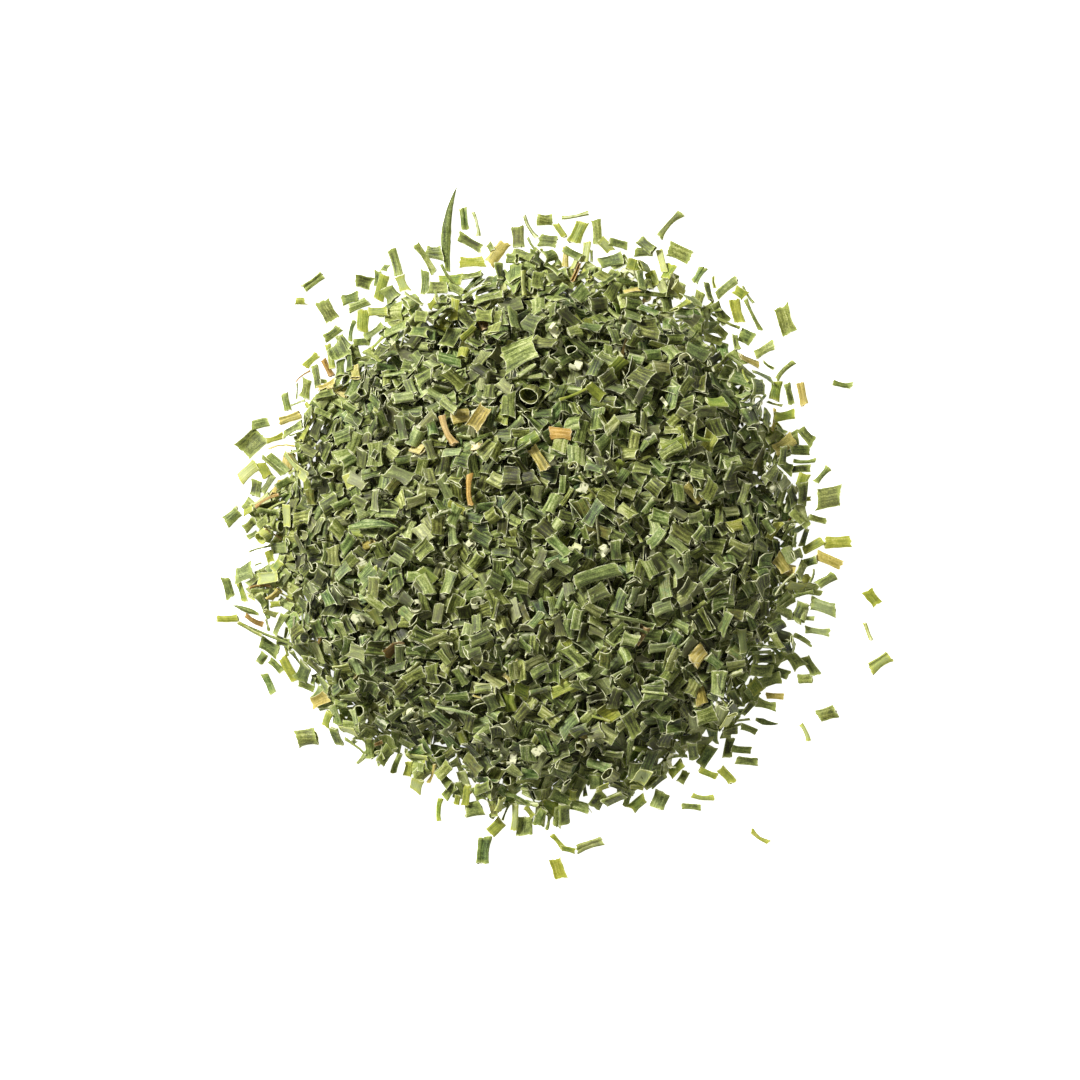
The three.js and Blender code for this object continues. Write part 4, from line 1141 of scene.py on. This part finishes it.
def leaf_material(name, groups, cool, warm, flare, cut, bleached, aged, lift=0.0, through=0.32):
    """A dried leaf: two scales of tones, with ribs, veins, mottling, paler ends that are partly painted light, painted
    glow and a painted highlight line at the edges, and light coming through.
    """
    material = bpy.data.materials.new(name)
    material.use_nodes = True
    tree = material.node_tree
    shader = tree.nodes["Principled BSDF"]
    leaf_map = tree.nodes.new("ShaderNodeUVMap")
    leaf_map.uv_map = "leaf_map"
    tone, warmth = attribute(tree, "tone"), attribute(tree, "warmth")
    ribs = place_group(tree, groups["ribs"], **{"Leaf Map": leaf_map.outputs[0], "Own": warmth})
    coordinates = tree.nodes.new("ShaderNodeTexCoord").outputs["Object"]
    mottle = spread_noise(tree, coordinates, 1100.0)
    grain = spread_noise(tree, coordinates, 3600.0, 2.0)

    # glow is painted light: it softens the ribs and creases and paints the ends and side folds lighter, for the floor's
    # light coming through the leaf
    glow = attribute(tree, "glow")
    place = centred(tree, ribs["Ribs"], math_node(tree, "MULTIPLY_ADD", glow, -0.8, 1.9), tone)
    place = centred(tree, ribs["Bands"], 0.7, place)
    place = centred(tree, mottle, 0.5, place)
    place = centred(tree, grain, 0.95, place)
    place = math_node(tree, "ADD", place, lift)
    colour = mix_colour(tree, warmth, tone_ramp(tree, place, cool), tone_ramp(tree, place, warm))
    colour = mix_colour(tree, math_node(tree, "MULTIPLY", ribs["Pale"], 0.26), colour, linear(flare))
    crease = math_node(tree, "MULTIPLY", ribs["Dark"], math_node(tree, "MULTIPLY_ADD", glow, -0.18, 0.4))
    colour = mix_colour(tree, crease, colour, linear(cool[0]))
    colour = mix_colour(tree, attribute(tree, "bleach"), colour, linear(bleached))
    age = math_node(tree, "MULTIPLY", attribute(tree, "age"), ramp_up(tree, mottle, 0.35, 0.6), clamp=True)
    colour = mix_colour(tree, age, colour, linear(aged))

    ends = place_group(
        tree, groups["ends"], **{"To End": attribute(tree, "to_end"), "Noise": mottle, "Reach": 0.9}
    )
    # Paler, yellower flared ends: partly the leaf's own colour, partly painted light coming through the thin end
    colour = mix_colour(tree, math_node(tree, "MULTIPLY", ends["Flare"], 0.3), colour, linear(flare))
    # Painted highlight: along each side fold a thin pale line of the cut colour stands in for the light the fold
    # catches; the line at the ends is the pale cut itself
    sides = place_group(
        tree, groups["ends"], **{"To End": attribute(tree, "to_side"), "Noise": mottle, "Reach": 0.4}
    )
    # Painted glow: the ends and side folds of glowing leaves are mixed towards the flare colour
    lit = math_node(tree, "MULTIPLY", math_node(tree, "MAXIMUM", sides["Flare"], ends["Flare"]), glow)
    colour = mix_colour(tree, math_node(tree, "MULTIPLY", lit, 0.65), colour, linear(flare))
    colour = mix_colour(tree, math_node(tree, "MULTIPLY", sides["Cut"], 0.55), colour, linear(cut))
    colour = mix_colour(tree, math_node(tree, "MULTIPLY", ends["Cut"], 0.85), colour, linear(cut))
    tree.links.new(colour, shader.inputs["Base Color"])
    shader.inputs["Roughness"].default_value = 0.5
    shader.inputs["Specular IOR Level"].default_value = 0.32

    bump = tree.nodes.new("ShaderNodeBump")
    bump.inputs["Strength"].default_value = 0.8
    bump.inputs["Distance"].default_value = 0.12 * MM
    tree.links.new(ribs["Height"], bump.inputs["Height"])
    tree.links.new(bump.outputs["Normal"], shader.inputs["Normal"])

    glow = tree.nodes.new("ShaderNodeBsdfTranslucent")
    tree.links.new(mix_colour(tree, 1.0, colour, (1.0, 1.0, 0.4, 1.0), "MULTIPLY"), glow.inputs["Color"])
    share = tree.nodes.new("ShaderNodeMixShader")
    share.inputs[0].default_value = through
    tree.links.new(shader.outputs[0], share.inputs[1])
    tree.links.new(glow.outputs[0], share.inputs[2])
    tree.links.new(share.outputs[0], tree.nodes["Material Output"].inputs["Surface"])
    return material


# slot: tones of a cool and of a warm leaf from dark to light, then its flare, cut, bleached and aged colours; the flare
# colour is also the painted glow, and the cut colour also the painted highlight along side folds
LEAF_COLOURS = {
    "leaf_green": (
        ("#1d250d", "#37491e", "#566f36", "#7e9654", "#b6c088"),
        ("#27270c", "#494e1c", "#707734", "#9ea456", "#ced092"),
        "#a8b45c", "#e4e3c2", "#c0bf94", "#7a7130",
    ),
    # leaf_light: lighter yellow-green leaves, partly their own colour and partly painted light of the floor coming
    # through them
    "leaf_light": (
        ("#455a1e", "#65802c", "#88a03e", "#b1ba64"),
        ("#5f641c", "#82882a", "#a5a63e", "#c9c670"),
        "#b8bb4a", "#e4e5b8", "#c6cb98", "#a88f48",
    ),
    "leaf_straw": (
        ("#5c6226", "#8f8e44", "#bcb468", "#e0d8a2"),
        ("#706424", "#9f8c3c", "#c5b25e", "#e2d594"),
        "#cdbe68", "#eee4bc", "#d4cc98", "#a48c4a",
    ),
    "leaf_brown": (
        ("#5c4c26", "#8c773f", "#b49c5c", "#d6c28e"),
        ("#6a521f", "#9a782e", "#c09c48", "#dcbc72"),
        "#b48f50", "#e0cca0", "#bca476", "#5e4020",
    ),
}


def leaf_finishes():
    """For each slot of the record: outer skin, inner wall and cut rim."""
    groups = {"ribs": ribs_group(), "ends": ends_group()}
    finishes = {}
    for slot, (cool, warm, flare, cut, bleached, aged) in LEAF_COLOURS.items():
        rest = flare, cut, bleached, aged
        finishes[slot] = [
            leaf_material(slot + "_skin", groups, cool, warm, *rest),
            leaf_material(slot + "_inside", groups, cool, warm, *rest, lift=-0.12),
            leaf_material(slot + "_rim", groups, cool[1:], warm[1:], *rest, lift=0.4),
        ]
    return finishes


def core_shade_material():
    # Painted shade: a dark green mottle that stands in for the leaves deep in the heap's shade
    material = bpy.data.materials.new("heap_core_painted_shade")
    material.use_nodes = True
    tree = material.node_tree
    mottle = spread_noise(tree, tree.nodes.new("ShaderNodeTexCoord").outputs["Object"], 600.0)
    colour = mix_colour(tree, mottle, linear("#14190c"), linear("#343c22"))
    tree.links.new(colour, tree.nodes["Principled BSDF"].inputs["Base Color"])
    tree.nodes["Principled BSDF"].inputs["Roughness"].default_value = 0.9
    return material


# ---- Floor, light and camera ----
VIEW_WIDTH = 216.0  # mm of floor across the picture
VIEW_CENTRE = (0.6, -0.6)
CAMERA_HEIGHT = 900.0
SENSOR = 36.0


def make_floor():
    bm = bmesh.new()
    bmesh.ops.create_grid(bm, x_segments=1, y_segments=1, size=3.0)
    mesh = bpy.data.meshes.new("floor")
    bm.to_mesh(mesh)
    bm.free()
    mesh.transform(Matrix.Translation((0, 0, -0.05 * MM)))
    material = bpy.data.materials.new("floor")
    material.use_nodes = True
    shader = material.node_tree.nodes["Principled BSDF"]
    shader.inputs["Base Color"].default_value = (0.85, 0.85, 0.85, 1)
    shader.inputs["Roughness"].default_value = 0.8
    shader.inputs["Emission Color"].default_value = (1, 1, 1, 1)
    shader.inputs["Emission Strength"].default_value = 0.92
    mesh.materials.append(material)
    add_piece("floor", mesh)


def add_area_light(name, place, target, size, power):
    light = bpy.data.lights.new(name, "AREA")
    light.size = size
    light.energy = power
    holder = bpy.data.objects.new(name, light)
    holder.location = place
    holder.rotation_euler = (Vector(target) - Vector(place)).to_track_quat("-Z", "Y").to_euler()
    bpy.context.scene.collection.objects.link(holder)


def make_lights():
    world = bpy.data.worlds.new("studio")
    world.use_nodes = True
    world.node_tree.nodes["Background"].inputs["Color"].default_value = (1, 0.97, 0.84, 1)
    world.node_tree.nodes["Background"].inputs["Strength"].default_value = 0.355
    bpy.context.scene.world = world
    add_area_light("key", (-0.56, 0.47, 0.7), (0, 0, 0), 0.18, 22.6)
    add_area_light("fill", (0.5, -0.6, 0.8), (0, 0, 0), 0.8, 1.5)


def make_camera():
    camera = bpy.data.cameras.new("camera")
    camera.sensor_width = SENSOR
    camera.lens = SENSOR * CAMERA_HEIGHT / VIEW_WIDTH
    camera.clip_start, camera.clip_end = 0.05, 10
    holder = bpy.data.objects.new("camera", camera)
    holder.location = (VIEW_CENTRE[0] * MM, VIEW_CENTRE[1] * MM, CAMERA_HEIGHT * MM)
    bpy.context.scene.collection.objects.link(holder)
    bpy.context.scene.camera = holder


# ---- The whole ----
rng = random.Random(11)
finishes = leaf_finishes()
grid = LayingGrid(frame_points())
target = heap_form(grid)
single_pieces(rng, grid, finishes)
core_piece(grid, target, core_shade_material())
grid.height = np.maximum(grid.height, target - CORE_DEPTH)

stock = leaf_stock(rng)
leaves = laid_heap(rng, grid, target, stock)
print("laid", len(leaves))
placed = placed_fringe(rng, grid)
filled = filled_fringe(rng, grid, target, stock)
leaves = showing(grid, leaves + placed + filled)
print("kept", len(leaves), len(placed), len(filled), "triangles", sum(len(leaf.mesh.loop_triangles) for leaf in leaves))
for slot in COLOUR_SHARES:
    for number, run in enumerate(batches([leaf for leaf in leaves if leaf.slot == slot]), 1):
        gather(f"heap_{slot.removeprefix('leaf_')}_{number}", run, finishes, slot)

make_floor()
make_lights()
make_camera()
bpy.context.scene.view_settings.view_transform = "Standard"
